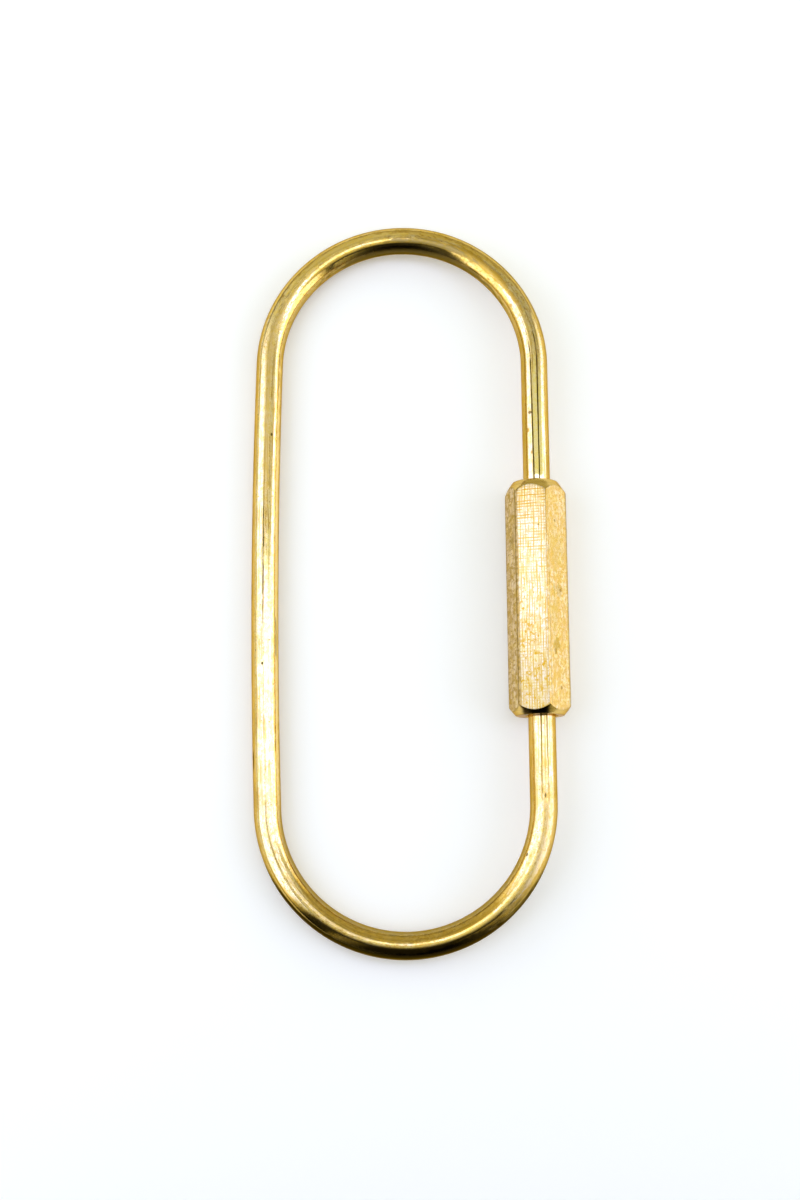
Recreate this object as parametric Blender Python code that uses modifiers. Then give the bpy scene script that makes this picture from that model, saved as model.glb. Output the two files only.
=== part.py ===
"""Capsule keychain: a bent brass rod whose open leg is closed by a hexagonal screw sleeve.

Metres, +Z up. The keychain lies on z = 0 as it would on a table, with its long way along Y. It
rests on its unbroken leg and on one corner of the sleeve, so the loop leans a little. The origin
is on the table, under the middle of the keychain.
"""

import math

import bmesh
import bpy
from mathutils import Matrix, Vector

MM = 0.001

# The bent rod
ROD_DIAMETER = 3.0 * MM
BEND_RADIUS = 14.95 * MM  # of the rod's centre line, at both ends of the loop
STRAIGHT_LENGTH = 49.3 * MM  # along Y, from one bend's centre to the other's
LEG_BOW = 0.4 * MM  # how far the unbroken leg swells outwards at its middle

# The thread, whose helix isn't cut here: a threaded end is turned down to the thread's root
THREAD_PITCH = 0.5 * MM
ROOT_DEPTH_IN_PITCHES = 0.6134  # of a metric thread
THREAD_GRIP = 4.0 * MM  # of the upper end, inside the closed sleeve
TIP_GAP = 5.5 * MM  # between the two ends of the rod, and so what the open loop lets in
THREAD_RUN_OUT = 0.5 * MM  # of thread left over past what the sleeve uses
TIP_CHAMFER = 0.3 * MM
SEAT_DEPTH = 0.15 * MM  # how far the full rod reaches into the sleeve's mouth

# The hexagonal sleeve
ACROSS_FLATS = 6.0 * MM
SLEEVE_LENGTH = 26.0 * MM
EDGE_RADIUS = 0.2 * MM  # of the drawn bar's six long edges
SLEEVE_ROLL = math.radians(16.8)  # from upright, of the upper flat, towards the loop's inside
BORE_OFFSET = 0.2 * MM  # of the bore from the hexagon's centre, away from the loop's inside
UPPER_CHAMFER_DEPTH = 0.91 * MM  # inwards from the hexagon's corners, at the upper face
UPPER_CHAMFER_LENGTH = 1.38 * MM  # along Y, at the corners
LOWER_CHAMFER_DEPTH = 0.81 * MM
LOWER_CHAMFER_LENGTH = 0.97 * MM
TAPPED_LENGTH = 13.0 * MM  # from the upper face; below it the bore clears the rod
THREAD_CLEARANCE = 0.05 * MM  # round the thread's crests, in the tapped bore
ROD_CLEARANCE = 0.2 * MM  # round the full rod, in the lower bore
MOUTH_COUNTERSINK = 0.25 * MM
OUTLET_COUNTERSINK = 0.15 * MM

# How finely the round shapes are drawn
BEND_STEPS = 45
LEG_STEPS = 8
ROD_BEVEL_RESOLUTION = 10
BORE_STEPS = 48
CHAMFER_STEPS = 96
EDGE_SEGMENTS = 4
CUTTER_OVERSHOOT = 0.5 * MM
MERGE_DISTANCE = 0.001 * MM
SMOOTH_ANGLE = math.radians(25)

# Places that follow from the sizes
ROD_RADIUS = ROD_DIAMETER / 2
ROOT_RADIUS = ROD_RADIUS - ROOT_DEPTH_IN_PITCHES * THREAD_PITCH
SLEEVE_TRAVEL = THREAD_GRIP + TIP_GAP
SLEEVE_LOW_Y = -STRAIGHT_LENGTH / 2 + SLEEVE_TRAVEL  # the open sleeve stops where the bend begins
SLEEVE_HIGH_Y = SLEEVE_LOW_Y + SLEEVE_LENGTH
UPPER_TIP_Y = SLEEVE_HIGH_Y - THREAD_GRIP
LOWER_TIP_Y = UPPER_TIP_Y - TIP_GAP
CORNER_RADIUS = ACROSS_FLATS / 2 / math.cos(math.pi / 6)
DOWN, OUTWARDS = math.pi, 1.5 * math.pi  # directions across the sleeve, as for its roll

BRASS_COLOUR = (0.72, 0.52, 0.22, 1.0)
MILLED_BRASS_COLOUR = (0.76, 0.58, 0.28, 1.0)


def clear_scene():
    """Removes whatever the file holds."""
    for obj in list(bpy.data.objects):
        bpy.data.objects.remove(obj, do_unlink=True)


def new_collection(name):
    collection = bpy.data.collections.new(name)
    bpy.context.scene.collection.children.link(collection)
    return collection


def brass(name, colour, roughness):
    """A Principled material of bare brass."""
    material = bpy.data.materials.new(name)
    material.use_nodes = True
    shader = material.node_tree.nodes["Principled BSDF"]
    shader.inputs["Base Color"].default_value = colour
    shader.inputs["Metallic"].default_value = 1.0
    shader.inputs["Roughness"].default_value = roughness
    return material


def hexagon_reach(direction):
    """Distance from the hexagon's centre to a line that touches it square to a direction.

    The direction is an angle from +Z towards -X, as the roll is. A corner with a rounded edge
    reaches as far as the centre of its round plus the round's radius.
    """
    from_corner = (direction - SLEEVE_ROLL) % (math.pi / 3) - math.pi / 6
    round_centre = (ACROSS_FLATS / 2 - EDGE_RADIUS) / math.cos(math.pi / 6)
    return round_centre * math.cos(from_corner) + EDGE_RADIUS


def loop_placement():
    """The loop's lean, and the X of its unbroken leg and of the sleeve's bore."""
    span = 2 * BEND_RADIUS + LEG_BOW
    lean = math.asin((hexagon_reach(DOWN) - ROD_RADIUS) / span)
    bore_from_leg = span * math.cos(lean)
    right_reach = max(hexagon_reach(OUTWARDS) - BORE_OFFSET, ROD_RADIUS)
    leg_x = (ROD_RADIUS - bore_from_leg - right_reach) / 2
    return lean, leg_x, leg_x + bore_from_leg


def arc(centre, radius, start, end, steps):
    """Points on an arc, both ends included."""
    turns = [start + (end - start) * i / steps for i in range(steps + 1)]
    return [centre + radius * Vector((math.cos(turn), math.sin(turn))) for turn in turns]


def loop_route():
    """The rod's centre line between its threaded ends, as (x, y) in the loop's own plane.

    It runs from the upper end over the top bend, down the bowed leg and round the lower bend. The
    bowed leg is one shallow arc that touches both bends, so its centre, each bend's centre and the
    point where they touch lie on one line.
    """
    half = STRAIGHT_LENGTH / 2
    centre_distance = (half**2 + LEG_BOW**2) / (2 * LEG_BOW)
    touch = math.asin(half / centre_distance)
    leg_centre = Vector((centre_distance - LEG_BOW, 0))
    leg_radius = centre_distance + BEND_RADIUS
    top = arc(Vector((0, half)), BEND_RADIUS, 0, math.pi - touch, BEND_STEPS)
    leg = arc(leg_centre, leg_radius, math.pi - touch, math.pi + touch, LEG_STEPS)
    bottom = arc(Vector((0, -half)), BEND_RADIUS, math.pi + touch, 2 * math.pi, BEND_STEPS)
    return top + leg[1:-1] + bottom


def threaded_end(tip_y, shoulder_y):
    """The (x, y, radius) of a rod end from its tip, through its turned-down length, to full size."""
    away = math.copysign(1, shoulder_y - tip_y)
    cone = ROD_RADIUS - ROOT_RADIUS
    x = BEND_RADIUS
    return [
        (x, tip_y, ROOT_RADIUS - TIP_CHAMFER),
        (x, tip_y + away * TIP_CHAMFER, ROOT_RADIUS),
        (x, shoulder_y - away * cone, ROOT_RADIUS),
        (x, shoulder_y, ROD_RADIUS),
    ]


def make_rod(collection, material, lean, leg_x):
    """One sweep of a circle along the loop, turned down to the thread's root at both ends."""
    upper = threaded_end(UPPER_TIP_Y, SLEEVE_HIGH_Y - SEAT_DEPTH)
    lower = threaded_end(LOWER_TIP_Y, LOWER_TIP_Y - TAPPED_LENGTH - THREAD_RUN_OUT)
    middle = [(point.x, point.y, ROD_RADIUS) for point in loop_route()]
    stations = upper + middle + lower[::-1]

    curve = bpy.data.curves.new("bent_rod", "CURVE")
    curve.dimensions = "3D"
    curve.bevel_depth = ROD_RADIUS
    curve.bevel_resolution = ROD_BEVEL_RESOLUTION
    curve.use_fill_caps = True
    spline = curve.splines.new("POLY")
    spline.points.add(len(stations) - 1)
    leg_from_middle = BEND_RADIUS + LEG_BOW
    for point, (x, y, radius) in zip(spline.points, stations):
        point.co = (x + leg_from_middle, y, 0, 1)
        point.radius = radius / ROD_RADIUS
    spline.use_smooth = True
    curve.materials.append(material)

    rod = bpy.data.objects.new("bent_rod", curve)
    rod.location = (leg_x, 0, ROD_RADIUS)
    rod.rotation_euler = (0, -lean, 0)
    collection.objects.link(rod)
    return rod


def turned(name, profile, steps, collection, axis):
    """A solid of revolution about its own Z, from (radius, z) points down its outer side."""
    mesh = bpy.data.meshes.new(name)
    points = [(radius, 0, z) for radius, z in profile]
    edges = [(i, i + 1) for i in range(len(points) - 1)]
    mesh.from_pydata(points, edges, [])
    obj = bpy.data.objects.new(name, mesh)
    obj.parent = axis
    collection.objects.link(obj)
    screw = obj.modifiers.new("Turn", "SCREW")
    screw.axis = "Z"
    screw.angle = 2 * math.pi
    screw.steps = steps
    screw.render_steps = steps
    screw.use_merge_vertices = True
    screw.merge_threshold = MERGE_DISTANCE
    return obj


def as_cutter(obj):
    obj.display_type = "WIRE"
    obj.hide_render = True
    return obj


def chamfered_blank(collection, axis):
    """What a lathe leaves of the hexagonal bar: a cylinder past its corners, with coned ends."""
    end = SLEEVE_LENGTH / 2
    upper = CORNER_RADIUS - UPPER_CHAMFER_DEPTH
    lower = CORNER_RADIUS - LOWER_CHAMFER_DEPTH
    outside = CORNER_RADIUS + CUTTER_OVERSHOOT
    upper_slope = UPPER_CHAMFER_LENGTH / UPPER_CHAMFER_DEPTH
    lower_slope = LOWER_CHAMFER_LENGTH / LOWER_CHAMFER_DEPTH
    profile = [
        (0, end),
        (upper, end),
        (outside, end - (outside - upper) * upper_slope),
        (outside, -end + (outside - lower) * lower_slope),
        (lower, -end),
        (0, -end),
    ]
    blank = turned("sleeve_blank", profile, CHAMFER_STEPS, collection, axis)
    blank.location = (-BORE_OFFSET, 0, 0)
    return as_cutter(blank)


def stepped_bore(collection, axis):
    """The tapped bore from the upper face, the wider bore below it, and their countersinks."""
    end = SLEEVE_LENGTH / 2
    past = end + CUTTER_OVERSHOOT
    tapped = ROD_RADIUS + THREAD_CLEARANCE
    clear = ROD_RADIUS + ROD_CLEARANCE
    step = end - TAPPED_LENGTH
    profile = [
        (0, past),
        (tapped + MOUTH_COUNTERSINK + CUTTER_OVERSHOOT, past),
        (tapped, end - MOUTH_COUNTERSINK),
        (tapped, step),
        (clear, step - (clear - tapped)),
        (clear, -end + OUTLET_COUNTERSINK),
        (clear + OUTLET_COUNTERSINK + CUTTER_OVERSHOOT, -past),
        (0, -past),
    ]
    return as_cutter(turned("sleeve_bore", profile, BORE_STEPS, collection, axis))


def hexagonal_bar():
    """A mesh of drawn hexagonal bar along Z, with rounded long edges, off the bore by its offset."""
    bar = bmesh.new()
    turn = Matrix.Rotation(math.pi / 6 - SLEEVE_ROLL, 4, "Z")
    bmesh.ops.create_cone(
        bar,
        cap_ends=True,
        segments=6,
        radius1=CORNER_RADIUS,
        radius2=CORNER_RADIUS,
        depth=SLEEVE_LENGTH + 2 * CUTTER_OVERSHOOT,
        matrix=Matrix.Translation((-BORE_OFFSET, 0, 0)) @ turn,
    )
    long_edges = [edge for edge in bar.edges if edge.calc_length() > SLEEVE_LENGTH]
    bmesh.ops.bevel(
        bar,
        geom=long_edges,
        offset=EDGE_RADIUS * math.tan(math.pi / 6),
        offset_type="OFFSET",
        segments=EDGE_SEGMENTS,
        profile=0.5,
        affect="EDGES",
    )
    mesh = bpy.data.meshes.new("hex_sleeve")
    bar.to_mesh(mesh)
    bar.free()
    return mesh


def make_sleeve(collection, cutters, material, bore_x):
    """The bar, turned at both ends, then drilled. Its origin is on the bore, which it moves along."""
    axis = bpy.data.objects.new("sleeve_axis", None)
    axis.location = (bore_x, (SLEEVE_LOW_Y + SLEEVE_HIGH_Y) / 2, hexagon_reach(DOWN))
    axis.rotation_euler = (-math.pi / 2, 0, 0)
    collection.objects.link(axis)

    mesh = hexagonal_bar()
    mesh.materials.append(material)
    sleeve = bpy.data.objects.new("hex_sleeve", mesh)
    sleeve.parent = axis
    collection.objects.link(sleeve)
    ends = sleeve.modifiers.new("Turned ends", "BOOLEAN")
    ends.operation = "INTERSECT"
    ends.object = chamfered_blank(cutters, axis)
    bore = sleeve.modifiers.new("Bore", "BOOLEAN")
    bore.operation = "DIFFERENCE"
    bore.object = stepped_bore(cutters, axis)
    mesh.shade_smooth()
    mesh.set_sharp_from_angle(angle=SMOOTH_ANGLE)
    return sleeve


def main():
    clear_scene()
    keychain = new_collection("capsule_keychain")
    cutters = new_collection("cutters")
    cutters.hide_render = True
    lean, leg_x, bore_x = loop_placement()
    make_rod(keychain, brass("drawn_brass", BRASS_COLOUR, 0.3), lean, leg_x)
    make_sleeve(keychain, cutters, brass("milled_brass", MILLED_BRASS_COLOUR, 0.38), bore_x)


main()
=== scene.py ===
"""Looks of the capsule keychain: a bent brass rod, closed by a hexagonal sleeve that screws along it.

Metres, +Z up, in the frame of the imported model: the long way is Y, the sleeve's leg is on the +X
side, and the keychain lies on z = 0. The rod and the sleeve are made again here with their
threads, rounded edges and scratched surfaces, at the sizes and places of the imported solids.
"""

import sys

import logging
import math
from dataclasses import dataclass, field
from enum import Enum
from functools import partial
from typing import Callable, Union

import bpy
import numpy as np
from mathutils import Matrix, Vector


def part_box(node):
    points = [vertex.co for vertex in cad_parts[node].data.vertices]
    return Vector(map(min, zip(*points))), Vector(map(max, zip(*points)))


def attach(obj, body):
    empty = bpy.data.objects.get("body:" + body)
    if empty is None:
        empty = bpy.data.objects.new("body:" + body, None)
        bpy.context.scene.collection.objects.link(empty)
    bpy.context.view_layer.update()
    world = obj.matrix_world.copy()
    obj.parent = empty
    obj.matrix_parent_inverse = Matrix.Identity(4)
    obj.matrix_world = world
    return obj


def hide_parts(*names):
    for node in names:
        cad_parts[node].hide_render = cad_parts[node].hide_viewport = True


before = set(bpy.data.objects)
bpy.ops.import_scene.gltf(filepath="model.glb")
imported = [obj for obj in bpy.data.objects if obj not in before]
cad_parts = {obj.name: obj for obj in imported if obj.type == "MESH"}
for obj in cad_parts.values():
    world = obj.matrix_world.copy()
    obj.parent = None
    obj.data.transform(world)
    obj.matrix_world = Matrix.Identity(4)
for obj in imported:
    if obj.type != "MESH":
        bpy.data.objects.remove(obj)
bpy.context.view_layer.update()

LOG = logging.getLogger("keychain")
MM = 0.001
TAU = 2 * math.pi
SHARP_ANGLE = math.radians(40)  # between faces whose edge stays sharp
Array = np.ndarray
Marked = tuple[Array, dict[str, Array]]  # places, and the values that materials read there
Colour = tuple[float, float, float]
Socket = bpy.types.NodeSocket
Input = Union[Socket, float, tuple[float, ...]]


class Body(Enum):
    """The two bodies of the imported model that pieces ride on."""

    LOOP = "rod_loop"
    SLEEVE = "screw_sleeve"


class Slot(Enum):
    """The record's material slots."""

    DRAWN = "drawn_brass"
    MILLED = "milled_brass"


class Grain(Enum):
    """Which way fine lines run, as how stretched they are across (both ways) and along a bar."""

    DRAWN = (1.0, 1.0, 0.018)
    LENGTHWISE = (1.0, 1.0, 0.08)
    CROSSWISE = (0.10, 0.10, 1.0)
    TURNED = (0.02, 0.02, 1.0)


# Surfaces made of rings


class RingSurface:
    """A closed surface put together from rings that all have the same number of points.

    A ring's points run right-handed about the direction in which rings are stacked, so a quad
    (here, next on the ring, next on the next ring, here on the next ring) faces outwards.
    """

    def __init__(self, columns: int) -> None:
        """Starts an empty surface.

        Args:
            columns: How many points each ring has.
        """
        self.columns = columns
        self.count = 0
        self.points: list[Array] = []
        self.marks: list[dict[str, Array]] = []
        self.faces: list[Array] = []

    def add(self, points: Array, marks: dict[str, Array]) -> Array:
        """Adds points, and the values that materials read from them.

        Args:
            points: Places, shaped (..., 3).
            marks: A value or a vector for each point, by name.

        Returns:
            The points' indices, shaped as the points are.
        """
        shape = points.shape[:-1]
        total = int(np.prod(shape))
        indices = np.arange(self.count, self.count + total).reshape(shape)
        self.points.append(points.reshape(total, 3))
        self.marks.append({name: value.reshape(total, -1) for name, value in marks.items()})
        self.count += total
        return indices

    def stack(self, rings: Array) -> None:
        """Joins rings to each other in order.

        Args:
            rings: Indices, one ring a row.
        """
        here, there = rings[:-1], rings[1:]
        beside, beyond = np.roll(here, -1, axis=1), np.roll(there, -1, axis=1)
        self.faces.append(np.stack([here, beside, beyond, there], axis=-1).reshape(-1, 4))

    def close(self, ring: Array, centre: int, at_start: bool) -> None:
        """Closes an end with triangles to one point.

        Args:
            ring: The end ring's indices.
            centre: The index of the point in its middle.
            at_start: Whether it is the first ring of the stack, whose end faces the other way.
        """
        beside = np.roll(ring, -1)
        middle = np.full_like(ring, centre)
        order = [beside, ring, middle] if at_start else [ring, beside, middle]
        self.faces.append(np.stack(order, axis=-1))

    def thread(
        self,
        low_ring: Array,
        high_ring: Array,
        heights: tuple[float, float],
        turns: Array,
        pitch: float,
        phases: Array,
        shape: Callable[[Array, Array], Marked],
        inside: bool = False,
    ) -> None:
        """Fills the gap between two rings with rows that follow a helix.

        A row's height is pitch * (whole turns + phase + turn / 360 degrees), so it joins the row
        one pitch above it after a full turn. Rows are cut off at the two rings: a point past a
        ring, or nearly at it, is that ring's point, and the quads that collapse there become
        triangles or go.

        Args:
            low_ring: Indices of the ring at the lower height.
            high_ring: Indices of the ring at the upper height.
            heights: The two rings' heights along the axis.
            turns: Each column's angle about the axis, in radians.
            pitch: Height gained in a turn.
            phases: The rows of one pitch, as shares of it from 0 to 1.
            shape: Gives the points and marks for heights and column numbers.
            inside: Whether the thread faces its own axis.
        """
        low, high = heights
        first, last = math.floor(low / pitch) - 2, math.ceil(high / pitch) + 2
        rows = (np.arange(first, last)[:, None] + phases[None]).ravel() * pitch
        height = rows[:, None] + pitch * turns[None] / TAU
        snap = pitch / 40
        index = np.where(height < low + snap, low_ring[None], -1)
        index = np.where(height > high - snap, high_ring[None], index)
        free = index < 0
        column = np.broadcast_to(np.arange(self.columns)[None], height.shape)
        index[free] = self.add(*shape(height[free], column[free]))

        beside = np.roll(index, -1, axis=1)
        past_end = np.full(len(phases), high_ring[0])
        beside[:, -1] = np.concatenate([index[len(phases):, 0], past_end])
        quads = np.stack([index[:-1], beside[:-1], beside[1:], index[1:]], axis=-1).reshape(-1, 4)
        near_flat, far_flat = quads[:, 0] == quads[:, 3], quads[:, 1] == quads[:, 2]
        parts = [
            quads[~near_flat & ~far_flat],
            quads[near_flat & ~far_flat][:, [0, 1, 2]],
            quads[~near_flat & far_flat][:, [0, 1, 3]],
        ]
        self.faces.extend(part[:, ::-1] if inside else part for part in parts)

    def to_object(self, name: str, sharp_angle: float) -> bpy.types.Object:
        """Makes the mesh object, smooth but for edges over an angle.

        Args:
            name: The piece's name.
            sharp_angle: Angle between faces from which an edge stays sharp.

        Returns:
            The object, at the origin, with its place in its mesh.
        """
        points = np.concatenate(self.points)
        faces = [face for part in self.faces for face in part.tolist()]
        mesh = bpy.data.meshes.new(name)
        mesh.from_pydata(points, [], faces)
        for mark in self.marks[0]:
            values = np.concatenate([block[mark] for block in self.marks])
            is_vector = values.shape[1] == 3
            kind, key = ("FLOAT_VECTOR", "vector") if is_vector else ("FLOAT", "value")
            attribute = mesh.attributes.new(mark, kind, "POINT")
            attribute.data.foreach_set(key, values.astype(np.float32).ravel())
        mesh.shade_smooth()
        mesh.set_sharp_from_angle(angle=sharp_angle)
        piece = bpy.data.objects.new(name, mesh)
        bpy.context.scene.collection.objects.link(piece)
        return piece


def soft_min(a: Array, b: Array, rounding: float) -> Array:
    """The smaller of two values, rounded: their mean less half of sqrt((a - b)^2 + rounding^2)."""
    return (a + b - np.sqrt((a - b) ** 2 + rounding**2)) / 2


# Sizes that the rod and the sleeve share


@dataclass(frozen=True)
class ScrewThread:
    """The M3 x 0.5 thread, on one helix about the bore for both rod ends and for the sleeve.

    The phase of a point is height / pitch - turn / 360 degrees, and 0 is the middle of the rod's
    ridge. A ridge's height, as a share of its depth, is clip((root_edge - d) / (root_edge -
    crest_edge), 0, 1), with d the distance from its middle in pitches.
    """

    pitch: float = 0.5 * MM
    crest_edge: float = 1 / 16  # in pitches, from the ridge's middle
    root_edge: float = 3 / 8
    play: float = 0.04  # in pitches, of the sleeve's groove on each side of the rod's ridge
    rod_crest: float = 1.475 * MM  # radii
    rod_root: float = 1.193 * MM
    sleeve_groove: float = 1.525 * MM
    sleeve_crest: float = 1.23 * MM

    def ridge(self, height: Array, turn: Array, play: float = 0.0) -> Array:
        """Share of the full depth, 0 at the root and 1 at the crest.

        Args:
            height: Places along the axis.
            turn: Angles about the axis, in radians.
            play: Pitches by which the ridge is widened on each side.

        Returns:
            The share at each place.
        """
        phase = height / self.pitch - turn / TAU
        off_middle = np.abs((phase + 0.5) % 1 - 0.5)
        return np.clip((self.root_edge + play - off_middle) / (self.root_edge - self.crest_edge), 0, 1)

    def phases(self, play: float = 0.0) -> Array:
        """The rows that one pitch needs: the ends of each flat and flank, and their middles.

        Args:
            play: Pitches by which the ridge is widened on each side.

        Returns:
            Phases in rising order.
        """
        crest, root = self.crest_edge + play, self.root_edge + play
        flank = (crest + root) / 2
        return np.array([crest, flank, root, 0.5, 1 - root, 1 - flank, 1 - crest])


@dataclass(frozen=True)
class HexBar:
    """Drawn hexagonal bar across its length, in (x, z): flats, and long edges with a small round.

    A turn is an angle from +Z towards +X, which is right-handed about +Y.
    """

    across_flats: float = 6.0 * MM
    edge_radius: float = 0.2 * MM
    roll: float = math.radians(16.8)  # of the upper flat, from +Z towards -X
    flat_steps: int = 12
    edge_steps: int = 4

    @property
    def half(self) -> float:
        """From the centre to a flat."""
        return self.across_flats / 2

    @property
    def round_centre(self) -> float:
        """From the centre to the centre of an edge's round."""
        return (self.half - self.edge_radius) / math.cos(math.pi / 6)

    @property
    def corner_radius(self) -> float:
        """From the centre to where the flats would meet."""
        return self.half / math.cos(math.pi / 6)

    @property
    def flat_half_width(self) -> float:
        """From a flat's middle to where an edge's round begins."""
        return (self.half - self.edge_radius) * math.tan(math.pi / 6)

    def reach(self, turn: float) -> float:
        """Distance from the centre to a line that touches the bar square to a turn."""
        from_corner = (turn + self.roll) % (math.pi / 3) - math.pi / 6
        return self.round_centre * math.cos(from_corner) + self.edge_radius

    def outline(self) -> tuple[Array, Array, Array]:
        """Points round the bar, by rising turn.

        A flat's points are middle + width * sin(s), with s even from -90 to 90 degrees, so they
        crowd towards its edges. An edge's are its round's centre + radius * (sin t, cos t).

        Returns:
            The points as (x, z), the distance of each from the nearest round along its flat, and
            that round's number, counted from the one clockwise of the upper flat.
        """
        spread = np.sin(np.linspace(-math.pi / 2, math.pi / 2, self.flat_steps + 1))
        along = spread * self.flat_half_width
        bend = np.linspace(0, math.pi / 3, self.edge_steps + 1)[1:-1]
        sides, gaps, corners = [], [], []
        for side in range(6):
            turn = side * math.pi / 3 - self.roll
            corner = turn + math.pi / 6
            normal = np.array([math.sin(turn), math.cos(turn)])
            tangent = np.array([math.cos(turn), -math.sin(turn)])
            centre = self.round_centre * np.array([math.sin(corner), math.cos(corner)])
            swing = np.stack([np.sin(turn + bend), np.cos(turn + bend)], axis=-1)
            sides += [self.half * normal + along[:, None] * tangent, centre + self.edge_radius * swing]
            gaps += [self.flat_half_width - np.abs(along), np.zeros(len(bend))]
            corners += [np.where(along < 0, (side - 1) % 6, side), np.full(len(bend), side)]
        return np.concatenate(sides), np.concatenate(gaps), np.concatenate(corners)


@dataclass(frozen=True)
class LoopPlane:
    """The plane of the bent rod, which leans because the sleeve is thicker than the rod.

    In the plane, x is 0 on the line between the bends' centres and y is the frame's own Y. The
    unbroken leg lies on the table and the sleeve on its lowest edge.
    """

    bar: HexBar = field(default_factory=HexBar)
    rod_radius: float = 1.5 * MM
    inset: float = 0.0035 * MM  # of both skins, to lie within the solids' boxes
    bend_radius: float = 14.95 * MM
    leg_bow: float = 0.4 * MM
    bore_offset: float = 0.2 * MM

    @property
    def span(self) -> float:
        """From the unbroken leg's middle to the bore."""
        return 2 * self.bend_radius + self.leg_bow

    @property
    def lean(self) -> float:
        """Angle between the loop and the table."""
        return math.asin((self.bar.reach(math.pi) - self.rod_radius) / self.span)

    @property
    def leg_x(self) -> float:
        """X of the unbroken leg's middle, with the whole keychain's box centred on X = 0."""
        outwards = max(self.bar.reach(math.pi / 2) - self.bore_offset, self.rod_radius)
        return (self.rod_radius - self.span * math.cos(self.lean) - outwards) / 2

    @property
    def bore_x(self) -> float:
        """X of the bore."""
        return self.leg_x + self.span * math.cos(self.lean)

    @property
    def bore_z(self) -> float:
        """Height of the bore, and of the hexagon's centre."""
        return self.bar.reach(math.pi)

    def place(self, x: Array, y: Array, above: Array) -> Array:
        """Puts points of the plane into the frame.

        Args:
            x: Across the loop, from the line between the bends' centres.
            y: Along the loop.
            above: Above the plane, square to it.

        Returns:
            Places, with a last axis of x, y, z.
        """
        from_leg = x + self.bend_radius + self.leg_bow
        cosine, sine = math.cos(self.lean), math.sin(self.lean)
        world_x = self.leg_x + from_leg * cosine - above * sine
        world_z = self.rod_radius + from_leg * sine + above * cosine
        return np.stack(np.broadcast_arrays(world_x, y, world_z), axis=-1)


# Shader nodes


class Wiring:
    """Adds nodes to one node tree and joins them."""

    def __init__(self, tree: bpy.types.NodeTree) -> None:
        """Starts on the tree of a material, a world or a group."""
        self.tree = tree

    def feed(self, target: Socket, value: Input) -> None:
        """Joins a socket to another, or sets it to a value.

        Args:
            target: The socket that takes it.
            value: Another node's output, a number, a vector or a colour.
        """
        if isinstance(value, bpy.types.NodeSocket):
            self.tree.links.new(value, target)
        elif isinstance(value, tuple) and len(target.default_value) == 4:
            target.default_value = (*value, 1.0)
        else:
            target.default_value = value

    def add(self, kind: str, inputs: dict[Union[str, int], Input], **settings: object) -> bpy.types.Node:
        """Adds a node.

        Args:
            kind: The node type's own name.
            inputs: What goes into its sockets, by name or number.
            settings: Its properties.

        Returns:
            The node.
        """
        node = self.tree.nodes.new(kind)
        for name, value in settings.items():
            setattr(node, name, value)
        for key, value in inputs.items():
            self.feed(node.inputs[key], value)
        return node

    def math(self, operation: str, *values: Input) -> Socket:
        """One step of arithmetic on one, two or three values."""
        return self.add("ShaderNodeMath", dict(enumerate(values)), operation=operation).outputs[0]

    def chain(self, operation: str, values: tuple[Input, ...]) -> Input:
        """Joins values by one kind of arithmetic, from the first on.

        Args:
            operation: The kind.
            values: The values; a single one is given back as it is.

        Returns:
            The result.
        """
        result = values[0]
        for value in values[1:]:
            result = self.math(operation, result, value)
        return result

    def total(self, *values: Input) -> Input:
        """The sum of the values."""
        return self.chain("ADD", values)

    def product(self, *values: Input) -> Input:
        """The product of the values."""
        return self.chain("MULTIPLY", values)

    def highest(self, *values: Input) -> Input:
        """The highest of the values."""
        return self.chain("MAXIMUM", values)

    def ramp(self, value: Input, start: float, end: float, low: float = 0.0, high: float = 1.0) -> Socket:
        """Goes smoothly from low to high as a value goes from start to end, which may be the lower.

        Args:
            value: What is read.
            start: Where low is reached.
            end: Where high is reached.
            low: Result at the start and before it.
            high: Result at the end and past it.

        Returns:
            The result.
        """
        if start > end:
            start, end, low, high = end, start, high, low
        inputs = {0: value, 1: start, 2: end, 3: low, 4: high}
        node = self.add("ShaderNodeMapRange", inputs, interpolation_type="SMOOTHSTEP", clamp=True)
        return node.outputs[0]

    def blend(self, share: Input, first: Input, second: Input) -> Socket:
        """Mixes two colours, all first at a share of 0 and all second at 1."""
        node = self.add("ShaderNodeMix", {0: share, 6: first, 7: second}, data_type="RGBA")
        return node.outputs[2]

    def tint(self, share: Input, colour: Input, filter_colour: Input) -> Socket:
        """Multiplies a colour by another, by a share of the way."""
        inputs = {0: share, 6: colour, 7: filter_colour}
        return self.add("ShaderNodeMix", inputs, data_type="RGBA", blend_type="MULTIPLY").outputs[2]

    def noise(self, place: Socket, scale: Input, detail: float = 2.0, rough: float = 0.5) -> Socket:
        """Cloudy noise from about 0.3 to 0.7, in features of 1 / scale metres."""
        inputs = {"Vector": place, "Scale": scale, "Detail": detail, "Roughness": rough}
        return self.add("ShaderNodeTexNoise", inputs).outputs[0]

    def scaled(self, place: Input, factors: Input) -> Socket:
        """A place times a factor for each axis."""
        return self.add("ShaderNodeVectorMath", {0: place, 1: factors}, operation="MULTIPLY").outputs[0]

    def toward(self, value: Input, target: Input, share: Input) -> Socket:
        """A value moved towards another by a share of the way."""
        return self.math("MULTIPLY_ADD", self.math("SUBTRACT", target, value), share, value)

    def attribute(self, name: str) -> bpy.types.Node:
        """Reads what the mesh stores at its points."""
        return self.add("ShaderNodeAttribute", {}, attribute_name=name)


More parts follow.
